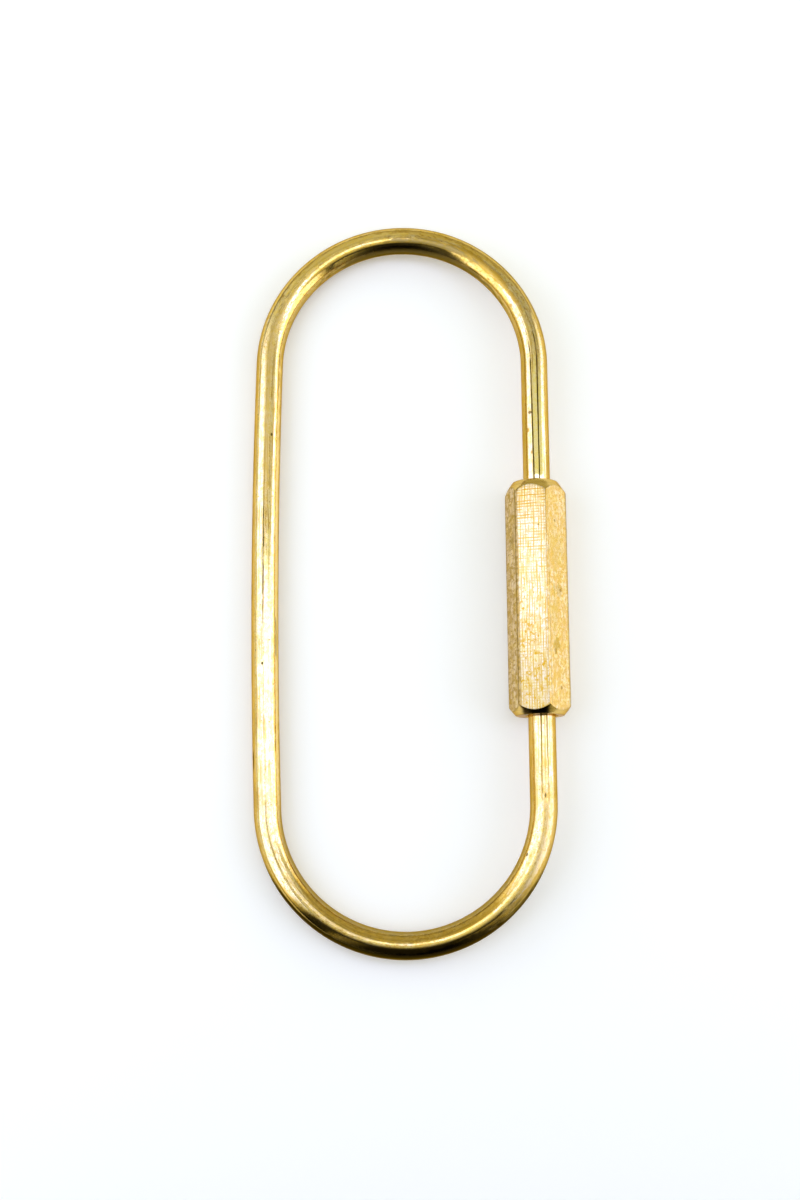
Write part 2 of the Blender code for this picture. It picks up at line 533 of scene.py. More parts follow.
class EffectGroup:
    """A shader node group with named inputs and outputs, built once and placed in materials."""

    built: dict[str, bpy.types.NodeTree] = {}

    @classmethod
    def tree(cls, name: str, inputs: dict[str, Input], outputs: tuple[str, ...]) -> Wiring:
        """Makes an empty group.

        Args:
            name: The group's name.
            inputs: Its inputs' names and default values; a tuple makes a vector.
            outputs: Its outputs' names, each one value.

        Returns:
            The wiring to build it with.
        """
        group = bpy.data.node_groups.new(name, "ShaderNodeTree")
        for label, value in inputs.items():
            kind = "NodeSocketVector" if isinstance(value, tuple) else "NodeSocketFloat"
            socket = group.interface.new_socket(label, in_out="INPUT", socket_type=kind)
            socket.default_value = value
        for label in outputs:
            group.interface.new_socket(label, in_out="OUTPUT", socket_type="NodeSocketFloat")
        cls.built[name] = group
        return Wiring(group)

    @classmethod
    def place(cls, wiring: Wiring, name: str, **inputs: Input) -> bpy.types.Node:
        """Puts a group that was built into a material.

        Args:
            wiring: The material's wiring.
            name: The group's name.
            inputs: Values for its inputs, with underscores for spaces.

        Returns:
            The group's node.
        """
        node = wiring.tree.nodes.new("ShaderNodeGroup")
        node.node_tree = cls.built[name]
        for key, value in inputs.items():
            wiring.feed(node.inputs[key.replace("_", " ")], value)
        return node


def build_fine_lines() -> None:
    """Group of fine scratches or drawing lines that run one way.

    Noise is read at place * stretch * fineness, so its features are as long as the stretch is
    small. Lines are where it passes a level, and a slower noise thins them out in places.
    """
    inputs = {"Place": (0.0, 0.0, 0.0), "Stretch": (1.0, 1.0, 0.03), "Fineness": 6000.0}
    limits = {"Level": 0.5, "Softness": 0.12, "Patchiness": 0.5}
    wiring = EffectGroup.tree("fine_lines", inputs | limits, ("Lines", "Raw"))
    given = wiring.add("NodeGroupInput", {}).outputs
    raw = wiring.noise(wiring.scaled(given["Place"], given["Stretch"]), given["Fineness"], rough=0.6)
    slow = wiring.noise(given["Place"], 420.0, detail=1.0)
    thinned = wiring.math("MULTIPLY_ADD", wiring.math("SUBTRACT", slow, 0.5), given["Patchiness"], raw)
    above = wiring.math("SUBTRACT", thinned, given["Level"])
    share = wiring.math("DIVIDE", above, given["Softness"])
    wiring.add("NodeGroupOutput", {"Lines": wiring.ramp(share, 0.0, 1.0), "Raw": raw})


def build_pits() -> None:
    """Group of small round pits, scattered so that only some of the cells hold one.

    Each cell of a Voronoi pattern has a random value, and a cell under the coverage holds a pit
    of the given radius round its centre.
    """
    inputs = {"Place": (0.0, 0.0, 0.0), "Spacing": 1500.0, "Radius": 0.2, "Coverage": 0.1}
    wiring = EffectGroup.tree("pits", inputs, ("Pits",))
    given = wiring.add("NodeGroupInput", {}).outputs
    cells = wiring.add("ShaderNodeTexVoronoi", {"Vector": given["Place"], "Scale": given["Spacing"]})
    chance = wiring.add("ShaderNodeSeparateColor", {0: cells.outputs["Color"]}).outputs[0]
    held = wiring.math("LESS_THAN", chance, given["Coverage"])
    depth = wiring.math("SUBTRACT", 1.0, wiring.math("DIVIDE", cells.outputs["Distance"], given["Radius"]))
    round_pit = wiring.ramp(depth, 0.0, 0.6)
    wiring.add("NodeGroupOutput", {"Pits": wiring.product(round_pit, held)})


def build_tarnish() -> None:
    """Group of patchy tarnish: two sizes of noise added and cut off softly at a level."""
    inputs = {"Place": (0.0, 0.0, 0.0), "Patch Scale": 300.0, "Speckle Scale": 2500.0, "Level": 0.52}
    wiring = EffectGroup.tree("tarnish", inputs, ("Patches",))
    given = wiring.add("NodeGroupInput", {}).outputs
    patches = wiring.noise(given["Place"], given["Patch Scale"], detail=3.0, rough=0.6)
    speckles = wiring.noise(given["Place"], given["Speckle Scale"], rough=0.6)
    both = wiring.math("MULTIPLY_ADD", wiring.math("SUBTRACT", speckles, 0.5), 0.6, patches)
    above = wiring.math("SUBTRACT", both, given["Level"])
    wiring.add("NodeGroupOutput", {"Patches": wiring.ramp(above, -0.06, 0.1)})


def build_mark() -> None:
    """Group of one mark on a bar: a dark line along it, a worn patch, a stain, a nick, or a patch of
    painted highlight or shade.

    A mark is an ellipse on the unrolled bar. Its middle line lies at angle + twist * (length -
    middle), and noise as strong as the raggedness frays its edge.
    """
    inputs = {"Place": (0.0, 0.0, 0.0), "Angle": 0.0, "Twist": 0.0, "Half Angle": 0.07}
    sizes = {"Middle": 0.0, "Half Length": 0.02, "Raggedness": 1.0}
    wiring = EffectGroup.tree("mark", inputs | sizes, ("Mark",))
    given = wiring.add("NodeGroupInput", {}).outputs
    sideways, upwards, along = wiring.add("ShaderNodeSeparateXYZ", {0: given["Place"]}).outputs
    from_middle = wiring.math("SUBTRACT", along, given["Middle"])
    course = wiring.math("MULTIPLY_ADD", from_middle, given["Twist"], given["Angle"])
    off_course = wiring.math("SUBTRACT", wiring.math("ARCTAN2", sideways, upwards), course)
    across = wiring.math("DIVIDE", off_course, given["Half Angle"])
    lengthwise = wiring.math("DIVIDE", from_middle, given["Half Length"])
    squares = wiring.total(wiring.product(across, across), wiring.product(lengthwise, lengthwise))
    noise = wiring.noise(wiring.scaled(given["Place"], (1.0, 1.0, 0.3)), 3000.0)
    frayed = wiring.math("SUBTRACT", noise, 0.5)
    distance = wiring.math("MULTIPLY_ADD", frayed, given["Raggedness"], wiring.math("SQRT", squares))
    wiring.add("NodeGroupOutput", {"Mark": wiring.ramp(distance, 1.25, 0.75)})


def build_hatch() -> None:
    """Group of fine, nearly even lines across one direction, as a worn milling cutter leaves them.

    They are a sine of the height over their spacing, bent by slow noise and broken into short
    pieces by a noise that is stretched along the lines.
    """
    inputs = {"Place": (0.0, 0.0, 0.0), "Height": 0.0, "Spacing": 0.0003, "Stretch": (1.0, 1.0, 1.0)}
    wiring = EffectGroup.tree("hatch", inputs, ("Lines",))
    given = wiring.add("NodeGroupInput", {}).outputs
    bent = wiring.product(wiring.noise(given["Place"], 250.0), 6.0)
    turns = wiring.math("MULTIPLY_ADD", wiring.math("DIVIDE", given["Height"], given["Spacing"]), TAU, bent)
    line = wiring.ramp(wiring.math("SINE", turns), -0.15, 0.75)
    stretched = wiring.scaled(given["Place"], given["Stretch"])
    pieces = wiring.ramp(wiring.noise(stretched, 5000.0, detail=3.0, rough=0.7), 0.40, 0.54)
    wiring.add("NodeGroupOutput", {"Lines": wiring.product(line, pieces)})


def new_metal(name: str, grazing: Colour) -> tuple[bpy.types.Material, Wiring, bpy.types.Node]:
    """Makes a material with a metal Principled shader.

    Args:
        name: The material's name.
        grazing: The metal's colour where it is seen nearly edge on.

    Returns:
        The material, its wiring and its shader.
    """
    material = bpy.data.materials.new(name)
    material.use_nodes = True
    shader = material.node_tree.nodes["Principled BSDF"]
    shader.inputs["Metallic"].default_value = 1.0
    shader.inputs["Specular Tint"].default_value = (*grazing, 1.0)
    return material, Wiring(material.node_tree), shader


# Finishes


GOLDEN_FILTER: Colour = (1.0, 0.94, 0.45)  # of the fine grain in both finishes


class Tone(Enum):
    """What a mark on the brass is: dirt, rust and wear, or painted highlights, shade and black reflections.
    """

    # painted black reflection
    PAINTED_BLACK_REFLECTION = (0.03, 0.02, 0.008)
    DIRT = (0.10, 0.065, 0.012)
    RUST = (0.40, 0.22, 0.04)
    WORN = (0.65, 0.46, 0.145)
    # painted highlights, pale and golden
    PAINTED_PALE_HIGHLIGHT = (0.98, 0.86, 0.56)
    PAINTED_GOLDEN_HIGHLIGHT = (0.95, 0.71, 0.29)
    # darker brass: stains on the sleeve, painted shade on the rod
    STAIN_AND_PAINTED_SHADE = (0.52, 0.33, 0.055)
    # painted shade
    PAINTED_DARK_SHADE = (0.33, 0.24, 0.085)


@dataclass(frozen=True)
class Mark:
    """A mark on a bar, in degrees round it from its top and in millimetres along it."""

    angle: float
    half_angle: float
    middle: float
    half_length: float
    tone: Tone = Tone.DIRT
    share: float = 1.0
    dull: float = 0.0  # share of the way to a dull surface
    twist: float = 0.0  # degrees a millimetre
    raggedness: float = 1.0

    def place(self, wiring: Wiring, place: Socket) -> Socket:
        """Puts the mark into a bar's material.

        Args:
            wiring: The material's wiring.
            place: The bar's own coordinates.

        Returns:
            1 on the mark and 0 off it.
        """
        return EffectGroup.place(
            wiring, "mark", Place=place, Angle=math.radians(self.angle),
            Twist=math.radians(self.twist) / MM, Half_Angle=math.radians(self.half_angle),
            Middle=self.middle * MM, Half_Length=self.half_length * MM, Raggedness=self.raggedness,
        ).outputs[0]


def place_marks(
    marks: tuple[Mark, ...], wiring: Wiring, place: Socket, colour: Socket
) -> tuple[Socket, Input]:
    """Puts marks into a bar's material, each over those before it.

    Args:
        marks: The marks.
        wiring: The material's wiring.
        place: The bar's own coordinates.
        colour: The bar's colour without them.

    Returns:
        The colour with them, and how dull they are.
    """
    dull: Input = 0.0
    for mark in marks:
        shape = mark.place(wiring, place)
        colour = wiring.blend(wiring.product(shape, mark.share), colour, mark.tone.value)
        if mark.dull:
            dull = wiring.highest(dull, wiring.product(shape, mark.dull))
    return colour, dull


def add_golden_grain(
    wiring: Wiring, place: Socket, stretch: tuple[float, float, float], share: float, colour: Socket
) -> Socket:
    """Takes some of the blue out of a colour, in fine grains.

    Args:
        wiring: The material's wiring.
        place: The bar's own coordinates.
        stretch: A factor for each axis; one under 1 draws the grains out along it.
        share: How strongly the grains are tinted.
        colour: The colour without them.

    Returns:
        The colour with them.
    """
    grains = EffectGroup.place(
        wiring, "tarnish", Place=wiring.scaled(place, stretch),
        Patch_Scale=3300.0, Speckle_Scale=1500.0, Level=0.5,
    ).outputs[0]
    return wiring.tint(wiring.product(grains, share), colour, GOLDEN_FILTER)


def add_relief(wiring: Wiring, shader: bpy.types.Node, *heights: Input) -> None:
    """Bumps a material by the sum of some heights.

    Args:
        wiring: The material's wiring.
        shader: Its shader.
        heights: The heights, in metres.
    """
    inputs = {"Height": wiring.total(*heights), "Distance": 1.0, "Strength": 1.0}
    bump = wiring.add("ShaderNodeBump", inputs)
    wiring.feed(shader.inputs["Normal"], bump.outputs[0])


class RodReading:
    """What the drawn finish reads at a place on the rod, as sockets of its material.

    up_share is the place's height over the rod's middle, in radii. below and bends are 1 in the
    lower bend and in both bends, and fade to 0 at their ends. wobble is the cloud about 0.
    """

    half_fade: float = 6.0  # millimetres

    def __init__(self, wiring: Wiring, finish: "DrawnBrass") -> None:
        """Reads what the mesh stores, and works out the masks that several steps share.

        Args:
            wiring: The material's wiring.
            finish: The finish, which knows where the bends are.
        """
        self.wiring = wiring
        self.place = wiring.attribute("straightened").outputs["Vector"]
        self.facing_front = wiring.attribute("facing_front").outputs["Fac"]
        _, upwards, self.along = wiring.add("ShaderNodeSeparateXYZ", {0: self.place}).outputs
        self.up_share = wiring.math("DIVIDE", upwards, finish.rod_radius)
        self.cloud = wiring.noise(self.place, finish.cloud_scale, detail=3.0, rough=0.6)
        self.wobble = wiring.math("SUBTRACT", self.cloud, 0.5)
        self.below = self.within(finish.lower_bend, finish.bend_inset)
        self.bends = wiring.total(self.below, self.within(finish.upper_bend, finish.bend_inset))

    def within(self, span: tuple[float, float], inset: float) -> Socket:
        """Share of a bend: 1 inside it, fading to 0 at each of its ends.

        Args:
            span: Where the bend starts and ends, in millimetres along the rod.
            inset: How far the fades' middles are moved into the bend, in millimetres.

        Returns:
            The share.
        """
        start, end, half = span[0] + inset, span[1] - inset, self.half_fade
        rise = self.wiring.ramp(self.along, (start - half) * MM, (start + half) * MM)
        fall = self.wiring.ramp(self.along, (end + half) * MM, (end - half) * MM)
        return self.wiring.product(rise, fall)

    def by_bends(self, in_bends: float, in_legs: float) -> Socket:
        """A value that goes from the legs' to the bends'."""
        return self.wiring.total(self.wiring.product(self.bends, in_bends - in_legs), in_legs)


@dataclass(frozen=True)
class DrawnBrass:
    """Drawn rod: pale and bright along its top as a painted highlight, golden on its flanks and darker down
    its sides as painted shade, olive in the bends, with painted black and brown shade where the bends face
    the front.
    """

    # painted highlight colour along the rod's top
    pale: Colour = (0.81, 0.66, 0.44)
    gold: Colour = (0.73, 0.475, 0.13)
    bend: Colour = (0.78, 0.55, 0.19)
    olive: Colour = (0.62, 0.41, 0.115)
    deep: Colour = (0.47, 0.28, 0.045)
    # painted shade down the rod's sides
    side: Colour = (0.46, 0.31, 0.09)
    # painted brown shade where the bends face the front
    brown: Colour = (0.155, 0.105, 0.038)
    # painted black shade where the bends face the front
    black: Colour = (0.016, 0.011, 0.003)
    speck: Colour = (0.36, 0.20, 0.03)
    grazing: Colour = (0.72, 0.57, 0.32)
    roughness: float = 0.105
    mottled_roughness: float = 0.19
    brown_roughness: float = 0.3
    worn_roughness: float = 0.4
    rod_radius: float = 1.5 * MM
    upper_bend: tuple[float, float] = (13.9, 60.9)  # millimetres along the rod
    lower_bend: tuple[float, float] = (110.2, 157.2)
    bend_inset: float = 2.0  # millimetres into a bend, where its colours are half there
    highlight_inset: float = 9.0  # likewise, of the narrower strip of painted highlight
    front_shade_inset: float = 17.0  # likewise, of the painted black shade in the upper bend
    grain_scale: float = 4800.0  # features a metre
    peel_scale: float = 1900.0
    cloud_scale: float = 900.0
    swell_scale: float = 420.0
    patch_scale: float = 330.0
    line_height: float = 0.0010 * MM  # of the relief
    grain_height: float = 0.0014 * MM
    peel_height: float = 0.0010 * MM
    swell_height: float = 0.016 * MM
    pit_depth: float = 0.010 * MM
    marks: tuple[Mark, ...] = (
        # painted highlight
        Mark(-3.0, 12.0, 3.0, 11.0, Tone.PAINTED_PALE_HIGHLIGHT, 0.85),
        # painted shade
        Mark(-52.0, 13.0, 8.0, 11.0, Tone.STAIN_AND_PAINTED_SHADE, 0.7, raggedness=1.6),
        # painted golden highlight
        Mark(-60.0, 17.0, 88.0, 26.0, Tone.PAINTED_GOLDEN_HIGHLIGHT, 0.9, raggedness=1.6),
        Mark(-15.5, 3.4, 5.0, 13.0, twist=-0.35),
        Mark(9.3, 3.2, 5.0, 13.0, twist=-0.05),
        Mark(22.0, 1.8, 3.0, 14.0, share=0.3, twist=0.3),
        Mark(2.5, 3.2, 83.0, 9.0, twist=-0.1, raggedness=1.8),
        Mark(2.5, 2.4, 88.0, 34.0, share=0.4, twist=-0.06, raggedness=2.2),
        Mark(-19.0, 1.8, 92.0, 26.0, share=0.2, raggedness=1.6),
        Mark(-6.5, 3.2, 169.0, 12.0, twist=0.25),
        Mark(16.5, 3.2, 169.0, 11.0, share=0.9, twist=-0.2),
        Mark(5.0, 2.2, 168.0, 15.0, share=0.4, raggedness=2.0),
        # painted highlight
        Mark(20.0, 8.0, 2.0, 12.0, Tone.PAINTED_PALE_HIGHLIGHT, 0.8),
        Mark(-3.0, 13.0, 64.0, 17.0, Tone.WORN, 0.6, dull=0.6, raggedness=2.0),
        # painted shade over the upper bend's highlight
        Mark(-9.0, 17.0, 28.0, 7.0, Tone.STAIN_AND_PAINTED_SHADE, 0.9, dull=0.75, raggedness=2.0),
        # painted shade where the upper bend's highlight breaks off
        Mark(-15.0, 11.0, 33.5, 6.0, Tone.PAINTED_DARK_SHADE, dull=0.65, raggedness=1.6),
        # painted golden highlight
        Mark(2.0, 13.0, 144.0, 7.0, Tone.PAINTED_GOLDEN_HIGHLIGHT, 0.6, raggedness=1.8),
        # painted highlight
        Mark(-15.0, 16.0, 92.0, 13.0, Tone.PAINTED_PALE_HIGHLIGHT, 0.5, raggedness=1.6),
        # painted shade on the upper bend's flank that faces the front
        Mark(-74.0, 22.0, 35.0, 12.0, share=0.7, raggedness=1.6),
        # painted golden highlight
        Mark(13.0, 16.0, 45.0, 8.0, Tone.PAINTED_GOLDEN_HIGHLIGHT, 0.9, raggedness=1.8),
        # painted shade
        Mark(-11.0, 7.0, 124.0, 9.0, Tone.PAINTED_DARK_SHADE, 0.8, raggedness=1.6),
        # painted shade
        Mark(-16.0, 12.0, 145.0, 7.0, Tone.STAIN_AND_PAINTED_SHADE, 0.5, raggedness=1.6),
        # painted black reflection
        Mark(40.0, 17.0, 139.5, 6.0, Tone.PAINTED_BLACK_REFLECTION, 0.85, raggedness=1.3),
        Mark(35.0, 30.0, 151.5, 8.0, Tone.WORN, 0.3, dull=0.9, raggedness=1.2),
        # painted shade
        Mark(-36.0, 10.0, 160.0, 6.0, Tone.STAIN_AND_PAINTED_SHADE, 0.5, raggedness=1.6),
        # painted shade
        Mark(6.0, 22.0, 160.0, 6.0, Tone.STAIN_AND_PAINTED_SHADE, 0.35, raggedness=1.6),
        # painted shade
        Mark(-70.0, 26.0, 131.0, 20.0, Tone.PAINTED_DARK_SHADE, 0.7, raggedness=1.8),
        # painted shade
        Mark(62.0, 14.0, 33.0, 16.0, Tone.PAINTED_DARK_SHADE, 0.6),
        Mark(-26.0, 9.0, 8.0, 0.17, share=0.8, twist=2.0),
        Mark(-37.0, 5.0, 6.0, 0.25, Tone.RUST, 0.8),
        Mark(-22.0, 4.0, 3.4, 0.2, Tone.RUST, 0.8),
        Mark(6.5, 4.6, 94.8, 0.15),
        Mark(-24.0, 3.6, 92.2, 0.12, Tone.RUST, 0.8),
        Mark(-20.0, 3.6, 101.2, 0.12, Tone.RUST, 0.8),
        Mark(60.0, 6.0, 105.3, 1.1, share=0.9),
        Mark(-24.0, 4.5, 69.0, 0.17, share=0.9),
        Mark(-60.0, 5.0, 92.0, 2.2, share=0.5, raggedness=2.4),
        Mark(-37.0, 6.0, 21.3, 0.3, Tone.RUST, 0.8),
        Mark(-41.0, 4.0, 25.6, 0.2, Tone.RUST, 0.7),
        Mark(-36.0, 4.0, 151.2, 0.22, share=0.9),
        Mark(4.0, 4.0, 158.0, 0.25, share=0.8),
    )

    def flanks(self, reading: RodReading) -> Socket:
        """The metal itself: pale along its top as a painted highlight, and darker down its sides as painted
        shade.

        The painted highlight covers it above 0.74 of its radius in the legs, and above 0.99 of it deep in
        the bends.

        Args:
            reading: What is known of the place.

        Returns:
            The colour, before specks, soil and marks.
        """
        wiring = reading.wiring
        ragged_up = wiring.math("MULTIPLY_ADD", reading.wobble, 0.1, reading.up_share)
        spans = (self.lower_bend, self.upper_bend)
        deep_in = wiring.total(*(reading.within(span, self.highlight_inset) for span in spans))
        limit = wiring.math("MULTIPLY_ADD", deep_in, 0.25, 0.74)
        # painted highlight along the top of the rod
        painted_highlight = wiring.ramp(wiring.math("SUBTRACT", ragged_up, limit), -0.03, 0.03)
        flank = wiring.blend(reading.bends, self.gold, self.bend)
        olive_share = wiring.product(reading.below, wiring.ramp(reading.cloud, 0.36, 0.6, 0.55, 1.0))
        flank = wiring.blend(olive_share, flank, self.olive)
        # painted shade down the sides, stronger in the bends
        side_shade_share = wiring.ramp(ragged_up, 0.66, 0.42)
        flank = wiring.blend(wiring.product(side_shade_share, reading.by_bends(0.6, 0.1)), flank, self.side)
        return wiring.blend(painted_highlight, flank, self.pale)

    def paint_front_shade(self, reading: RodReading) -> tuple[Socket, Socket]:
        """Painted shade in the bends: black where the rod faces the front, brown where it faces it
        squarely.

        Args:
            reading: What is known of the place.

        Returns:
            Its share, and its colour.
        """
        wiring = reading.wiring
        front = wiring.math("MULTIPLY_ADD", reading.wobble, 0.12, reading.facing_front)
        above_middle = wiring.ramp(reading.up_share, -0.25, 0.05)
        low_flank = wiring.product(reading.below, wiring.ramp(reading.up_share, 0.75, 0.60))
        darkening = wiring.math("MULTIPLY_ADD", low_flank, 0.18, front)
        span = wiring.highest(reading.below, reading.within(self.upper_bend, self.front_shade_inset))
        share = wiring.product(wiring.ramp(darkening, 0.48, 0.68), above_middle, span)
        return share, wiring.blend(wiring.ramp(front, 0.86, 0.96), self.black, self.brown)

    def build(self) -> bpy.types.Material:
        """Builds the material on the rod's own coordinates, as if it were straight.

        Returns:
            The material.
        """
        material, wiring, shader = new_metal("drawn_brass_rod", self.grazing)
        reading = RodReading(wiring, self)
        place = reading.place
        lines = EffectGroup.place(
            wiring, "fine_lines", Place=place, Stretch=Grain.DRAWN.value,
            Fineness=8000.0, Level=0.525, Softness=0.05, Patchiness=0.35,
        )
        tarnish = EffectGroup.place(
            wiring, "tarnish", Place=place, Patch_Scale=230.0, Speckle_Scale=3600.0, Level=0.6,
        ).outputs[0]
        pits = EffectGroup.place(
            wiring, "pits", Place=place, Spacing=1000.0, Radius=0.11, Coverage=0.07,
        ).outputs[0]
        dots = EffectGroup.place(
            wiring, "pits", Place=place, Spacing=3400.0, Radius=0.3, Coverage=0.3,
        ).outputs[0]
        grain = wiring.noise(wiring.scaled(place, (1.0, 1.0, 0.4)), self.grain_scale, rough=0.7)
        dotted = wiring.product(wiring.ramp(grain, 0.5, 0.66), reading.by_bends(0.75, 0.3))
        streaks = wiring.product(lines.outputs["Lines"], reading.by_bends(0.25, 0.7))

        specked = wiring.highest(dotted, streaks, wiring.product(tarnish, 0.5))
        colour = wiring.blend(specked, self.flanks(reading), self.deep)
        in_patches = wiring.ramp(wiring.noise(place, self.patch_scale), 0.44, 0.58, 0.12, 0.85)
        colour = wiring.blend(wiring.product(dots, in_patches), colour, self.speck)
        # painted black and brown shade where the bends face the front
        front_shade, front_shade_colour = self.paint_front_shade(reading)
        colour = wiring.blend(wiring.product(front_shade, 0.97), colour, front_shade_colour)
        colour, dull = place_marks(self.marks, wiring, place, colour)
        colour = add_golden_grain(wiring, place, (1.0, 1.0, 0.6), 0.6, colour)
        colour = wiring.blend(wiring.product(pits, 0.9), colour, Tone.DIRT.value)
        wiring.feed(shader.inputs["Base Color"], colour)

        mottled = wiring.total(tarnish, dotted, pits)
        rough = wiring.ramp(mottled, 0.0, 1.4, self.roughness, self.mottled_roughness)
        rough = wiring.toward(rough, self.brown_roughness, front_shade)
        wiring.feed(shader.inputs["Roughness"], wiring.toward(rough, self.worn_roughness, dull))
        peel = wiring.product(wiring.noise(place, self.peel_scale), reading.by_bends(5.5, 1.5))
        swell = wiring.noise(place, self.swell_scale, detail=1.0)
        add_relief(
            wiring, shader,
            wiring.product(lines.outputs["Raw"], self.line_height),
            wiring.product(grain, self.grain_height),
            wiring.product(peel, self.peel_height),
            wiring.product(swell, self.swell_height),
            wiring.product(pits, -self.pit_depth),
        )
        return material


class SleeveReading:
    """What the milled finish reads at a place on the sleeve, as sockets of its material.

    sideways, upright and along run across the upper flat, out of it and up the bar, in metres.
    edge, turned and bored are 1 on dark edges, on the cones and end faces, and in the bore. wobble
    is the cloud about 0, and the faint lines run along the bar.
    """

    def __init__(self, wiring: Wiring, finish: "MilledBrass") -> None:
        """Reads what the mesh stores, and works out what several steps share.

        Args:
            wiring: The material's wiring.
            finish: The finish, for its scales and places.
        """
        self.wiring = wiring
        self.place = wiring.attribute("bar_place").outputs["Vector"]
        self.edge = wiring.attribute("dark_edge").outputs["Fac"]
        self.turned = wiring.attribute("turned").outputs["Fac"]
        self.bored = wiring.attribute("bored").outputs["Fac"]
        separated = wiring.add("ShaderNodeSeparateXYZ", {0: self.place}).outputs
        self.sideways, self.upright, self.along = separated
        self.cloud = wiring.noise(self.place, finish.cloud_scale, detail=3.0, rough=0.6)
        self.wobble = wiring.math("SUBTRACT", self.cloud, 0.5)
        self.speckle = self.fine_grain(finish, (1.0, 1.0, 0.75))
        off_middle = wiring.math("ABSOLUTE", self.sideways)
        between_edges = wiring.ramp(off_middle, finish.flat_edge, finish.flat_edge - 0.07 * MM)
        on_top = wiring.ramp(self.upright, finish.flat_height - 0.12 * MM, finish.flat_height)
        self.upper_flat = wiring.product(on_top, between_edges)
        drawn = EffectGroup.place(
            wiring, "fine_lines", Place=self.place, Stretch=Grain.LENGTHWISE.value,
            Fineness=7500.0, Level=0.51, Softness=0.07, Patchiness=0.15,
        ).outputs
        self.faint_lines, self.line_relief = wiring.product(drawn["Lines"], 0.5), drawn["Raw"]

    def fine_grain(self, finish: "MilledBrass", stretch: tuple[float, float, float]) -> Socket:
        """The finest noise, drawn out by a factor under 1 for each axis."""
        stretched = self.wiring.scaled(self.place, stretch)
        return self.wiring.noise(stretched, finish.grain_scale, detail=3.0, rough=0.7)


